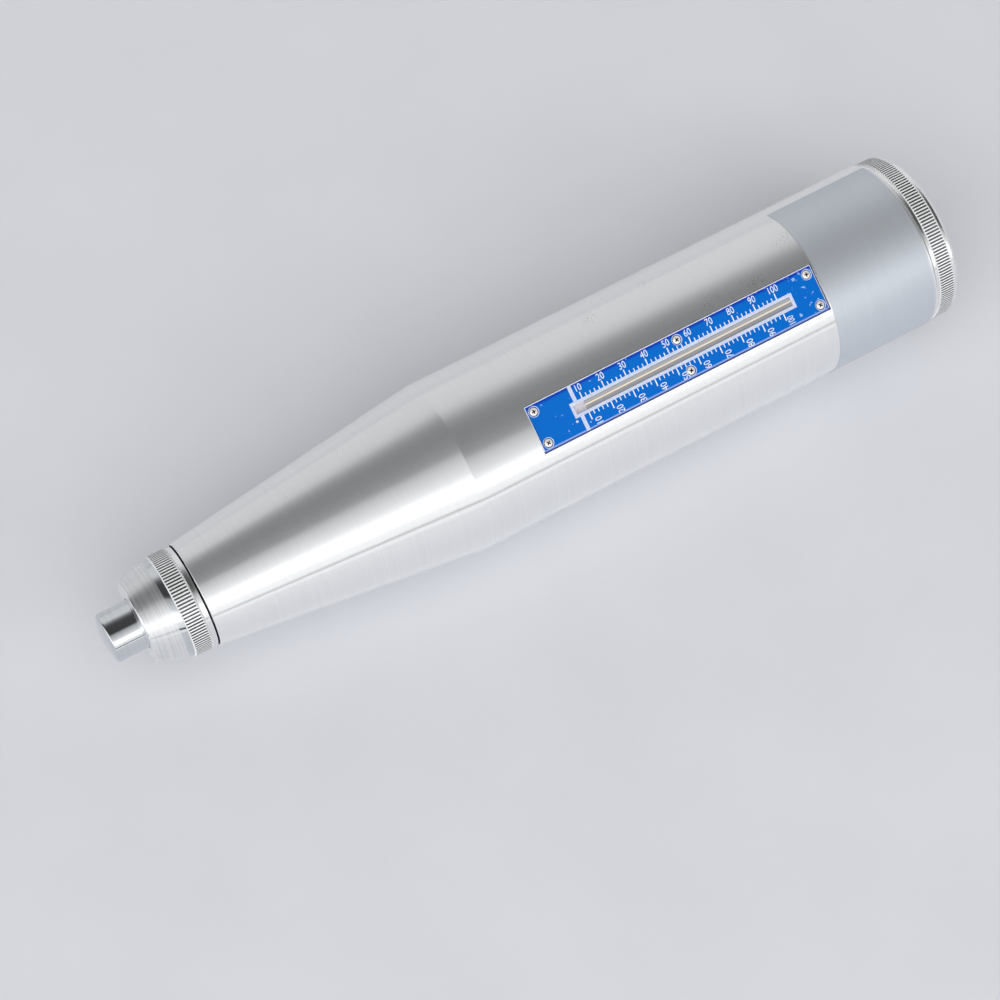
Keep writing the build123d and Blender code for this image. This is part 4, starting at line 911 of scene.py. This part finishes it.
def wind(name, coil_r, wire_r, turns, start, stop):
    """Winds a wire round the X axis, its middle running from start to stop, in millimetres."""
    bpy.ops.mesh.primitive_circle_add(
        vertices=WIRE_SIDES,
        radius=wire_r * MM,
        location=(start * MM, 0, coil_r * MM),
        rotation=(math.pi / 2, 0, 0),
    )
    spring = bpy.context.object
    spring.name = name
    bpy.ops.object.transform_apply()
    steps = round(turns * STEPS_PER_TURN)
    winding = {"axis": "X", "angle": math.tau * turns, "screw_offset": (stop - start) * MM}
    apply_modifier(spring, "SCREW", steps=steps, render_steps=steps, **winding)
    bpy.ops.object.mode_set(mode="EDIT")
    bpy.ops.mesh.select_all(action="SELECT")
    bpy.ops.mesh.fill_holes(sides=WIRE_SIDES)
    bpy.ops.mesh.select_all(action="SELECT")
    bpy.ops.mesh.normals_make_consistent(inside=False)
    bpy.ops.object.mode_set(mode="OBJECT")
    return spring


springs = {}
for node, body, coil_r, wire_r, turns, span, place in (
    ("impact_spring", None, 11.28, 1.0, 24, ends("impact_spring"), BARREL),
    ("compression_spring", None, 18.2, 0.8, 13, ends("compression_spring"), BARREL),
    ("buffer_spring", "carriage", 3.0, 0.5, 6, ends("buffer_spring"), BARREL),
    ("pawl_spring", "carriage", 1.5, 0.25, 2.5, ends("pawl_spring"), SCALE @ shift(0, PAWL_W)),
    ("button_spring", "housing", 2.6, 0.25, 3.5, (SPRING_FLOOR + STOP_GAP, NECK_H - STOP_GAP), BUTTON),
):
    spring = wind(node + "_wound", coil_r, wire_r, turns, span[0] + wire_r, span[1] - wire_r)
    dress(spring, place, body, [spring_wire], [node], WIRE_CRISP)
    springs[node] = spring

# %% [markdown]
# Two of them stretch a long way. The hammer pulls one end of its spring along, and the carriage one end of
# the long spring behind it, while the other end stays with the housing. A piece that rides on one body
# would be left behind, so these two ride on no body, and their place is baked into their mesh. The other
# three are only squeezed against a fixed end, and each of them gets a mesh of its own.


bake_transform(springs["impact_spring"])
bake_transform(springs["compression_spring"])

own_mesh(springs["button_spring"])
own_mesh(springs["buffer_spring"])
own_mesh(springs["pawl_spring"])

# %% [markdown]
# ## The scale plate
# The scale is a strip of clear acrylic, printed blue from behind. Deep blue is painted along three of its
# edges: the strip's own side, seen through the clear acrylic where it is thick enough. A pale line runs along
# the fourth. A few air bubbles sit under the print near its ends. One ramp across the strip and one along it
# draw the edges, and a noise that is cut off high draws the bubbles.

# %% The blue acrylic
BLUE, DEEP, NAVY, LILAC, BUBBLE = "#0069C8", "#0A3FB2", "#1F3F9C", "#8FA9E4", "#9CC0F2"
ACROSS = (  # millimetres across the scale, and the colour there
    (-7.4, NAVY),
    (-7.1, NAVY),
    (-7.0, LILAC),
    (-6.7, LILAC),
    (-6.5, BLUE),
    (6.0, BLUE),
    (6.5, DEEP),
)
ALONG = ((0.0, DEEP), (0.6, DEEP), (1.1, "#FFFFFF"), (97.4, "#FFFFFF"), (97.9, DEEP))
BUBBLES = (  # millimetres along the scale, and how much the bubbles gain there
    (0.0, 0.0),
    (4.0, 0.03),
    (10.0, 0.03),
    (12.0, 0.0),
    (88.0, 0.0),
    (90.0, 0.12),
    (96.0, 0.12),
    (98.0, 0.0),
)
BUBBLE_MM, BUBBLE_EDGE, BUBBLE_COVER = 1.3, (0.76, 0.8), 0.85
PRINT_ROUGHNESS, PRINT_SHINE = (0.12, 0.2), 0.12


def scale_spot(tree, place):
    """Sockets X, Y and Z of a point's place on the scale: millimetres along, across and out."""
    rolled = {"Vector": place, "Location": (0, 0, AXIS_Z), "Rotation": (ROLL, 0, 0), "Scale": (MM,) * 3}
    flat = add(tree, "Mapping", rolled, vector_type="TEXTURE")
    return add(tree, "SeparateXYZ", {"Vector": flat}).node.outputs


blue_acrylic, tree, shader, place = start_finish("blue_printed_acrylic")
spot = scale_spot(tree, place)
plate_x = (plate_start, plate_end)
across = banded(tree, spot["Y"], (-PLATE_W, PLATE_W), [(w, colour(tone)) for w, tone in ACROSS])
along = banded(tree, spot["X"], plate_x, [(plate_start + x, colour(tone)) for x, tone in ALONG])
edges = {"Fac": 1.0, "Color1": across, "Color2": along}
print_tone = add(tree, "MixRGB", edges, blend_type="DARKEN")

gains = banded(tree, spot["X"], plate_x, [(plate_start + x, (gain, gain, gain, 1.0)) for x, gain in BUBBLES])
blobs = noise(tree, place, (BUBBLE_MM,) * 3, 1.0)
both = add(tree, "Math", {0: blobs, 1: gains}, operation="ADD")
rise = {"Value": both, "From Min": BUBBLE_EDGE[0], "From Max": BUBBLE_EDGE[1], "To Max": BUBBLE_COVER}
cover = add(tree, "MapRange", rise)
printed = {"Fac": cover, "Color1": print_tone, "Color2": colour(BUBBLE)}
gloss = {"Value": blobs, "To Min": PRINT_ROUGHNESS[0], "To Max": PRINT_ROUGHNESS[1]}
feed(shader, {
    "Base Color": add(tree, "MixRGB", printed),
    "Roughness": add(tree, "MapRange", gloss),
    "Specular IOR Level": PRINT_SHINE,
})
print("bands across and along the scale:", len(ACROSS), len(ALONG))

# %% [markdown]
# The saw left the edges of the strip matt and pale, and their white is partly a painted highlight of the
# light they catch, except along the lower one, which leans away from the softbox and is painted navy as
# shade.
# The noise is the chatter of the saw, drawn about three times as coarse as it is.

# %% The cut edges of the acrylic
CHATTER_MM = 0.6
LOW_EDGE = (-7.0, -6.9)
EDGE_ROUGHNESS, EDGE_SHINE = 0.3, 0.4

acrylic_edge, tree, shader, place = start_finish("cut_acrylic_edge")
chatter = noise(tree, place, (CHATTER_MM,) * 3)
tones = list(zip(TONE_SPAN, (colour("#DCE6FA"), colour("#FFFFFF"))))
pale_edge = add(tree, "ValToRGB", {"Fac": chatter}, stops=tones)
# the lower edge is painted navy as shade
fall = {"From Min": LOW_EDGE[0], "From Max": LOW_EDGE[1], "To Min": 1.0, "To Max": 0.0}
shaded_low_edge = add(tree, "MapRange", {"Value": scale_spot(tree, place)["Y"], **fall})
two_edges = {"Fac": shaded_low_edge, "Color1": pale_edge, "Color2": colour(NAVY)}
edge_tone = add(tree, "MixRGB", two_edges)
feed(shader, {"Base Color": edge_tone, "Roughness": EDGE_ROUGHNESS, "Specular IOR Level": EDGE_SHINE})
print("edge finish:", acrylic_edge.name)

# %% [markdown]
# The plate is a slab whose rims are bevelled, and the bevels get the paler finish. The slot and the six
# screw seats are cut through it, and their rims are bevelled the same way. The bevel operator can give its
# new faces a material by itself, so nothing has to be picked twice.

# %% Cut and bevel the plate
PLATE_BOTTOM, PLATE_TOP = 23.966, 25.866
SLOT_X, SLOT_W = (plate_start + 13.75, plate_start + 88.3), 1.4
SEAT_R, SEAT_DEPTH, PLATE_HOLE_R = 1.5, 0.6, 0.88
RIM, SMALL_RIM = 0.3, 0.16
EDGE_FINISH = 1

plate = block("scale_plate_printed", (plate_start, plate_end), (-PLATE_W, PLATE_W), (PLATE_BOTTOM, PLATE_TOP))
for finish in (blue_acrylic, acrylic_edge):
    plate.data.materials.append(finish)


def at_top(part):
    """Whether all of an edge lies on the plate's top face."""
    return all(abs(vert.co.z - PLATE_TOP * MM) < ON_SPOT for vert in part.verts)


def bevel_rim(piece, test, width_mm):
    """Bevels the chosen edges and gives the new faces the edge's own finish."""
    activate(piece)
    bpy.ops.object.mode_set(mode="EDIT")
    pick(piece, "EDGE", test)
    bpy.ops.mesh.bevel(offset=width_mm * MM, segments=2, material=EDGE_FINISH)
    bpy.ops.object.mode_set(mode="OBJECT")


bevel_rim(plate, lambda edge: abs(edge.verts[0].co.z - edge.verts[1].co.z) > ON_SPOT, RIM)
bevel_rim(plate, at_top, RIM)
cut(plate, block("slot cutter", SLOT_X, (-SLOT_W, SLOT_W), (PLATE_BOTTOM - 1, PLATE_TOP + 1)))
seat_floor = PLATE_TOP - SEAT_DEPTH
for x, w in SCREW_SPOTS:
    counterbore = turn("counterbore", [
        (PLATE_BOTTOM - 1, 0),
        (PLATE_BOTTOM - 1, PLATE_HOLE_R),
        (seat_floor, PLATE_HOLE_R),
        (seat_floor, SEAT_R),
        (PLATE_TOP + 1, SEAT_R),
        (PLATE_TOP + 1, 0),
    ], 48)
    settle(counterbore, shift(x, w) @ OUTWARD)
    cut(plate, counterbore)


def on_cut_rim(edge):
    """Whether a top edge runs round the slot or a screw seat, and so not round the plate."""
    wall = [face for face in edge.link_faces if abs(face.normal.z) < 0.1]
    return at_top(edge) and bool(wall)


bevel_rim(plate, on_cut_rim, SMALL_RIM)
dress(plate, SCALE, "housing", [], ["scale_plate"], CRISP)

# %% [markdown]
# ## The print on the scale
# The print is pale ink: a frame round the slot, a tick for every second unit, a longer one for every tenth,
# two rows of numbers and a band across the start. It could be painted in the plate's nodes, but small
# figures stay sharper as thin meshes. The frame is a little greyer than the figures.

# %% Ink and the frame round the slot
INK, INK_GAP = 0.02, 0.004
INK_H = (PLATE_TOP + INK_GAP, PLATE_TOP + INK_GAP + INK)
FRAME_RIM = 0.95
BAND_X = (plate_start + 14.35, plate_start + 15.55)
DOT_X, DOT_W, DOT_R = plate_start + 12.84, -3.24, 0.4

figure_ink = mottled("white_screen_ink", "#DDE6F6", "#F6F9FE", 0.5, 0.4, 0.001)
frame_ink = mottled("lilac_screen_ink", "#C2CDEA", "#D4DCF0", 0.7, 0.4, 0.001)


def join(name, parts):
    """Joins several parts into one piece."""
    bpy.ops.object.select_all(action="DESELECT")
    for part in parts:
        part.select_set(True)
    bpy.context.view_layer.objects.active = parts[0]
    bpy.ops.object.join()
    parts[0].name = name
    return parts[0]


frame_x = (SLOT_X[0] - FRAME_RIM, SLOT_X[1] + FRAME_RIM)
frame_w = SLOT_W + FRAME_RIM
slot_frame = block("frame", frame_x, (-frame_w, frame_w), INK_H)
opening_x = (SLOT_X[0] - SMALL_RIM, SLOT_X[1] + SMALL_RIM)
opening_w = SLOT_W + SMALL_RIM
cut(slot_frame, block("cutter", opening_x, (-opening_w, opening_w), (PLATE_BOTTOM, PLATE_TOP + 1)))
band_edge = PLATE_W - RIM
bands = [block("band", BAND_X, w, INK_H) for w in ((-band_edge, -frame_w), (frame_w, band_edge))]
dot = rod("dot", *INK_H, DOT_R, 24)
settle(dot, shift(DOT_X, DOT_W) @ OUTWARD)
slot_frame = join("scale_frame_ink", [slot_frame, *bands, dot])
dress(slot_frame, SCALE, "housing", [frame_ink])

# %% [markdown]
# Ninety units are ruled in two rows. A tick could be placed forty-six times, but the Array modifier copies
# one short tick into four, then a whole decade into nine, as the rule's own pattern repeats.

# %% The ticks
FIRST, LAST, DECADE, MINOR_STEP = 10, 100, 10, 2
FIRST_X, UNIT = plate_start + 17.25, 0.746
MINOR_WIDE, MAJOR_WIDE = 0.3, 0.36
UPPER_ROW = (2.35, 3.35, 4.25)  # across the scale: the start of a tick, the end of a short and a long one
LOWER_ROW = (-2.4, -3.45, -4.62)


def tick_x(number):
    """Where a number of the scale stands along it."""
    return FIRST_X + (number - FIRST) * UNIT


def tick(number, wide, w):
    """One tick of ink, so wide, across the span w."""
    return block("tick", (tick_x(number) - wide / 2, tick_x(number) + wide / 2), w, INK_H)


def repeat(piece, count, units):
    """Repeats a piece along the scale, so many units apart."""
    step = (units * UNIT * MM, 0, 0)
    spacing = {"use_relative_offset": False, "use_constant_offset": True, "constant_offset_displace": step}
    apply_modifier(piece, "ARRAY", count=count, **spacing)


def tick_row(start_w, minor_w, major_w):
    """A row of ticks: nine decades of a long tick and four short ones, and a last long tick."""
    long_tick = tick(FIRST, MAJOR_WIDE, sorted((start_w, major_w)))
    short_ticks = tick(FIRST + MINOR_STEP, MINOR_WIDE, sorted((start_w, minor_w)))
    repeat(short_ticks, DECADE // MINOR_STEP - 1, MINOR_STEP)
    row = join("decade", [long_tick, short_ticks])
    repeat(row, (LAST - FIRST) // DECADE, DECADE)
    return join("row", [row, tick(LAST, MAJOR_WIDE, sorted((start_w, major_w)))])


ticks = join("scale_ticks_ink", [tick_row(*UPPER_ROW), tick_row(*LOWER_ROW)])
dress(ticks, SCALE, "housing", [figure_ink])

# %% [markdown]
# The numbers are text objects that become meshes before they are moved. The upper row reads along the
# barrel, and the lower one is turned by a right angle. Blender's own font is wider than a rule's figures, so
# each number is squeezed along its line, and the last one of the lower row, with three figures, even more.

# %% The numbers
DIGIT_MM, FONT_RISE, SQUEEZE = 2.15, 0.7, 0.8
UPPER_W, UPPER_SHIFT = 5.65, 0.25
LOWER = (-5.6, 1.8, SQUEEZE)  # across the scale, along it from the tick, and the squeeze
LAST_LOWER = (-5.0, 1.45, 0.62)


def number_text(number, x, w, turned, squeeze):
    """One number in ink, squeezed, its middle at a spot of the scale, turned by an angle."""
    bpy.ops.object.text_add()
    text = bpy.context.object
    text.data.body = str(number)
    text.data.size = DIGIT_MM / FONT_RISE * MM
    text.data.extrude = INK / 2 * MM
    text.data.resolution_u = 3
    bpy.ops.object.convert(target="MESH")
    figures = bpy.context.object
    bpy.ops.object.origin_set(type="ORIGIN_GEOMETRY", center="BOUNDS")
    spot = shift(x, w, sum(INK_H) / 2)
    settle(figures, spot @ Matrix.Rotation(turned, 4, "Z") @ Matrix.Diagonal((squeeze, 1, 1, 1)))
    return figures


numbers = []
for number in range(FIRST, LAST + 1, DECADE):
    numbers.append(number_text(number, tick_x(number) + UPPER_SHIFT, UPPER_W, 0, SQUEEZE))
    w, ahead, squeeze = LAST_LOWER if number == LAST else LOWER
    numbers.append(number_text(number, tick_x(number) + ahead, w, math.pi / 2, squeeze))
numbers = join("scale_numbers_ink", numbers)
dress(numbers, SCALE, "housing", [figure_ink])

# %% [markdown]
# ## The scale's screws
# Six small nickelled screws hold the scale. Each has a low dome and a cross recess whose walls lean in. One
# screw is modelled standing along X, with painted shade in its recess. Modelling six would only repeat the
# work.

# %% Model one screw
SCREW_R, HEAD_R, SHANK = 0.8, 1.25, 3.4
HEAD_H = (25.286, 25.986)
HEAD_DOME = ((0.28, 1.0, 0.12), (0.06, 0.7, 0.2), (0.0, 0.3, 0.2))  # below the top, share of HEAD_R, rounding
CROSS_LONG, CROSS_WIDE, CROSS_DEPTH = 1.6, 0.42, 0.45
CROSS_LEAN, CROSS_OVER = 0.6, 0.2
STEEP, FLOOR_NEAR = 0.6, 0.02

screw = turn("scale_screw", [
    (HEAD_H[0] - SHANK, 0),
    (HEAD_H[0] - SHANK, SCREW_R, 0.3),
    (HEAD_H[0], SCREW_R),
    (HEAD_H[0], HEAD_R, 0.08),
    *[(HEAD_H[1] - drop, HEAD_R * share, rounding) for drop, share, rounding in HEAD_DOME],
    (HEAD_H[1], 0),
], 48)
recess_h = (HEAD_H[1] - CROSS_DEPTH, HEAD_H[1] + CROSS_OVER)
half_long, half_wide = CROSS_LONG / 2, CROSS_WIDE / 2
for arm in (0, math.pi / 2):
    bar = block("recess", recess_h, (-half_long, half_long), (-half_wide, half_wide))
    bpy.ops.object.mode_set(mode="EDIT")
    pick(bar, "FACE", lambda face: face.normal.x < -0.9)
    bpy.ops.transform.resize(value=(1, CROSS_LEAN, CROSS_LEAN), center_override=(0, 0, 0))
    bpy.ops.object.mode_set(mode="OBJECT")
    settle(bar, Matrix.Rotation(arm, 4, "X"))
    cut(screw, bar)
smooth(screw)
for finish in (nickel_plate, shade_black_steel):
    screw.data.materials.append(finish)


def in_recess(face):
    """Whether a face is a wall or the floor of the cross recess."""
    middle = face.calc_center_median() / MM
    off_axis = math.hypot(middle.y, middle.z)
    steep = face.normal.x < STEEP or middle.x < recess_h[0] + FLOOR_NEAR
    return steep and off_axis < half_long and recess_h[0] - FLOOR_NEAR < middle.x


# the cross recess is painted black as shade
paint(screw, shade_black_steel, in_recess)
print("screw", [round(d / MM, 2) for d in screw.dimensions], "mm")

# %% [markdown]
# Copies of the screw go to the six seats, every one turned by another angle, as hands leave them. Linked
# copies would save memory, but each keeps its place in its own mesh, so each needs a mesh of its own.

# %% Copy it to the six seats
SCREW_TURNS = (45, 12, 68, 30, 51, 83)
for count, ((x, w), degrees) in enumerate(zip(SCREW_SPOTS, SCREW_TURNS), 1):
    activate(screw)
    bpy.ops.object.duplicate()
    fitted = bpy.context.object
    fitted.name = f"scale_screw_{count}"
    spin = Matrix.Rotation(math.radians(degrees), 4, "X")
    dress(fitted, SCALE @ shift(x, w) @ OUTWARD @ spin, "housing", [], ["scale_screws"])
bpy.data.objects.remove(screw)

# %% [markdown]
# ## The label
# A satin film is wrapped round the rear of the barrel. It could be a copy of the barrel's faces pushed out,
# but a thin strip of a turned section, spun part of the way round, has clean ends.
# Silver film is mostly metal under a thin lacquer: it shows the room only as a soft change from grey to pale.

# %% Wrap the label
LABEL_R = (27.01, 27.13)
LABEL_ROLL = (-42, 128)
BRUSH_MM = (0.3, 30, 30)
FILM_ROUGHNESS, FILM_METAL = (0.46, 0.5), 0.7

label_film, tree, shader, place = start_finish("satin_silver_film")
brush = noise(tree, place, BRUSH_MM, 1.0)
tones = list(zip(CLOUD_SPAN, (colour("#CFD4DB"), colour("#D3D8DF"))))
gloss = {"Value": brush, "To Min": FILM_ROUGHNESS[0], "To Max": FILM_ROUGHNESS[1]}
feed(shader, {
    "Base Color": add(tree, "ValToRGB", {"Fac": brush}, stops=tones),
    "Roughness": add(tree, "MapRange", gloss),
    "Metallic": FILM_METAL,
})

label_start, label_end = ends("label")
sweep = LABEL_ROLL[1] - LABEL_ROLL[0]
label = turn("satin_label", [
    (label_start, LABEL_R[0]),
    (label_start, LABEL_R[1]),
    (label_end, LABEL_R[1]),
    (label_end, LABEL_R[0]),
], sweep, math.radians(sweep))
label_place = BARREL @ Matrix.Rotation(math.radians(LABEL_ROLL[1]), 4, "X")
dress(label, label_place, "housing", [label_film], ["label"], CRISP)
print("label", round(label_end - label_start, 1), "mm long and", sweep, "degrees round")

# %% [markdown]
# ## Window and pointer
# The window, the pointer under it and the works inside keep their CAD shapes and only need their finishes.
# The window is clear acrylic. A grey haze lies on it in two long streaks, and between them a fine gold line
# is painted on as a highlight: the glint of the brass rod below. All three begin where the rider rests. One
# ramp across the window holds the tones, another how much they hide, and both stay on its upper face.

# %% The window's acrylic
HAZE_AND_GLINT = (  # millimetres across the window, the tone there and how much it hides
    (-1.4, "#E4E7F0", 0.3),
    (-1.0, "#E4E7F0", 0.36),
    (-0.9, "#E0E3EA", 0.4),
    (-0.2, "#E0E3EA", 0.4),
    # the gold rows are a painted highlight: the brass rod's glint
    (-0.1, "#FFEBD0", 0.92),
    (0.2, "#FFEBD0", 0.92),
    (0.3, "#F0F2F8", 0.44),
    (1.4, "#F0F2F8", 0.44),
)
REST_CLEAR, CLEAR = 0.15, 0.03
REST_BACK, REST_EDGE = 0.9, 0.1
HAZE_TOP = (PLATE_TOP - 0.5, PLATE_TOP - 0.4)
ACRYLIC_IOR = 1.49
SCUFF_MM, SCUFF_ROUGHNESS = (8, 1, 1), (0.2, 0.35)

window_acrylic, tree, shader, place = start_finish("scuffed_window_acrylic")
spot = scale_spot(tree, place)
slot_w = (-SLOT_W, SLOT_W)
haze_and_glint_tone = banded(tree, spot["Y"], slot_w, [(w, colour(tone)) for w, tone, much in HAZE_AND_GLINT])
streaks = banded(tree, spot["Y"], slot_w, [(w, (much, much, much, 1.0)) for w, tone, much in HAZE_AND_GLINT])
rest_end = ends("pointer_rider")[1] - REST_BACK
rest = {"From Min": rest_end - REST_EDGE, "From Max": rest_end + REST_EDGE, "To Min": REST_CLEAR}
beyond = add(tree, "MapRange", {"Value": spot["X"], **rest})
# the haze and the painted glint, thinned where the rider rests
haze_and_glint_cover = add(tree, "Math", {0: streaks, 1: beyond}, operation="MULTIPLY")
top = {"From Min": HAZE_TOP[0], "From Max": HAZE_TOP[1], "To Min": CLEAR, "To Max": haze_and_glint_cover}
scuffs = noise(tree, place, SCUFF_MM)
gloss = {"Value": scuffs, "To Min": SCUFF_ROUGHNESS[0], "To Max": SCUFF_ROUGHNESS[1]}
feed(shader, {
    "Alpha": add(tree, "MapRange", {"Value": spot["Z"], **top}),
    "Base Color": haze_and_glint_tone,
    "Roughness": add(tree, "MapRange", gloss),
    "IOR": ACRYLIC_IOR,
})
print("streaks across the window:", len(HAZE_AND_GLINT))

# %% [markdown]
# The rider is ivory plastic with a red line, and a felt ring seals the plunger. The rest is steel and brass.
# A table says which finish each CAD piece takes, and every slot of the piece gets it. Light spreads inside
# pale plastic and comes out again, and the rider gets a faint painted glow for it: an emission that keeps it
# pale in the shaded slot and clear under the haze.

# %% Give every CAD piece that is left its finish
RIDER_GLOW = 0.22

glowing_ivory_plastic = mottled("ivory_plastic_painted_glow", "#EEEAF0", "#FAF6F8", 0.8, 0.35, 0.004)
# a painted glow: emission that keeps the rider pale in the shaded slot
glow = {"Emission Color": colour("#F6E9EC"), "Emission Strength": RIDER_GLOW}
feed(glowing_ivory_plastic.node_tree.nodes["Principled BSDF"], glow)
red_paint = mottled("red_line_paint", "#C0564E", "#CE6A60", 0.3, 0.4, 0.003)
pressed_felt = mottled("pressed_felt", "#8A8478", "#B3AC9D", 0.25, 0.95, 0.06)
FINISHES = {
    machine_steel: ("guide_sleeve", "hammer_mass", "carriage"),
    mirror_steel: ("guide_bar",),
    oiled_steel: ("pawl", "lock_pin"),
    spring_wire: ("retaining_ring", "carriage_pin", "pawl_pin"),
    drawn_brass: ("pointer_rod", "rod_supports", "pointer_leaf"),
    pressed_felt: ("felt_seal",),
    window_acrylic: ("window",),
    glowing_ivory_plastic: ("pointer_rider",),
    red_paint: ("index_line",),
}
for finish, names in FINISHES.items():
    for name in names:
        for material_slot in frame["nodes"][name].material_slots:
            material_slot.material = finish
print(sum(len(names) for names in FINISHES.values()), "CAD pieces have a finish")
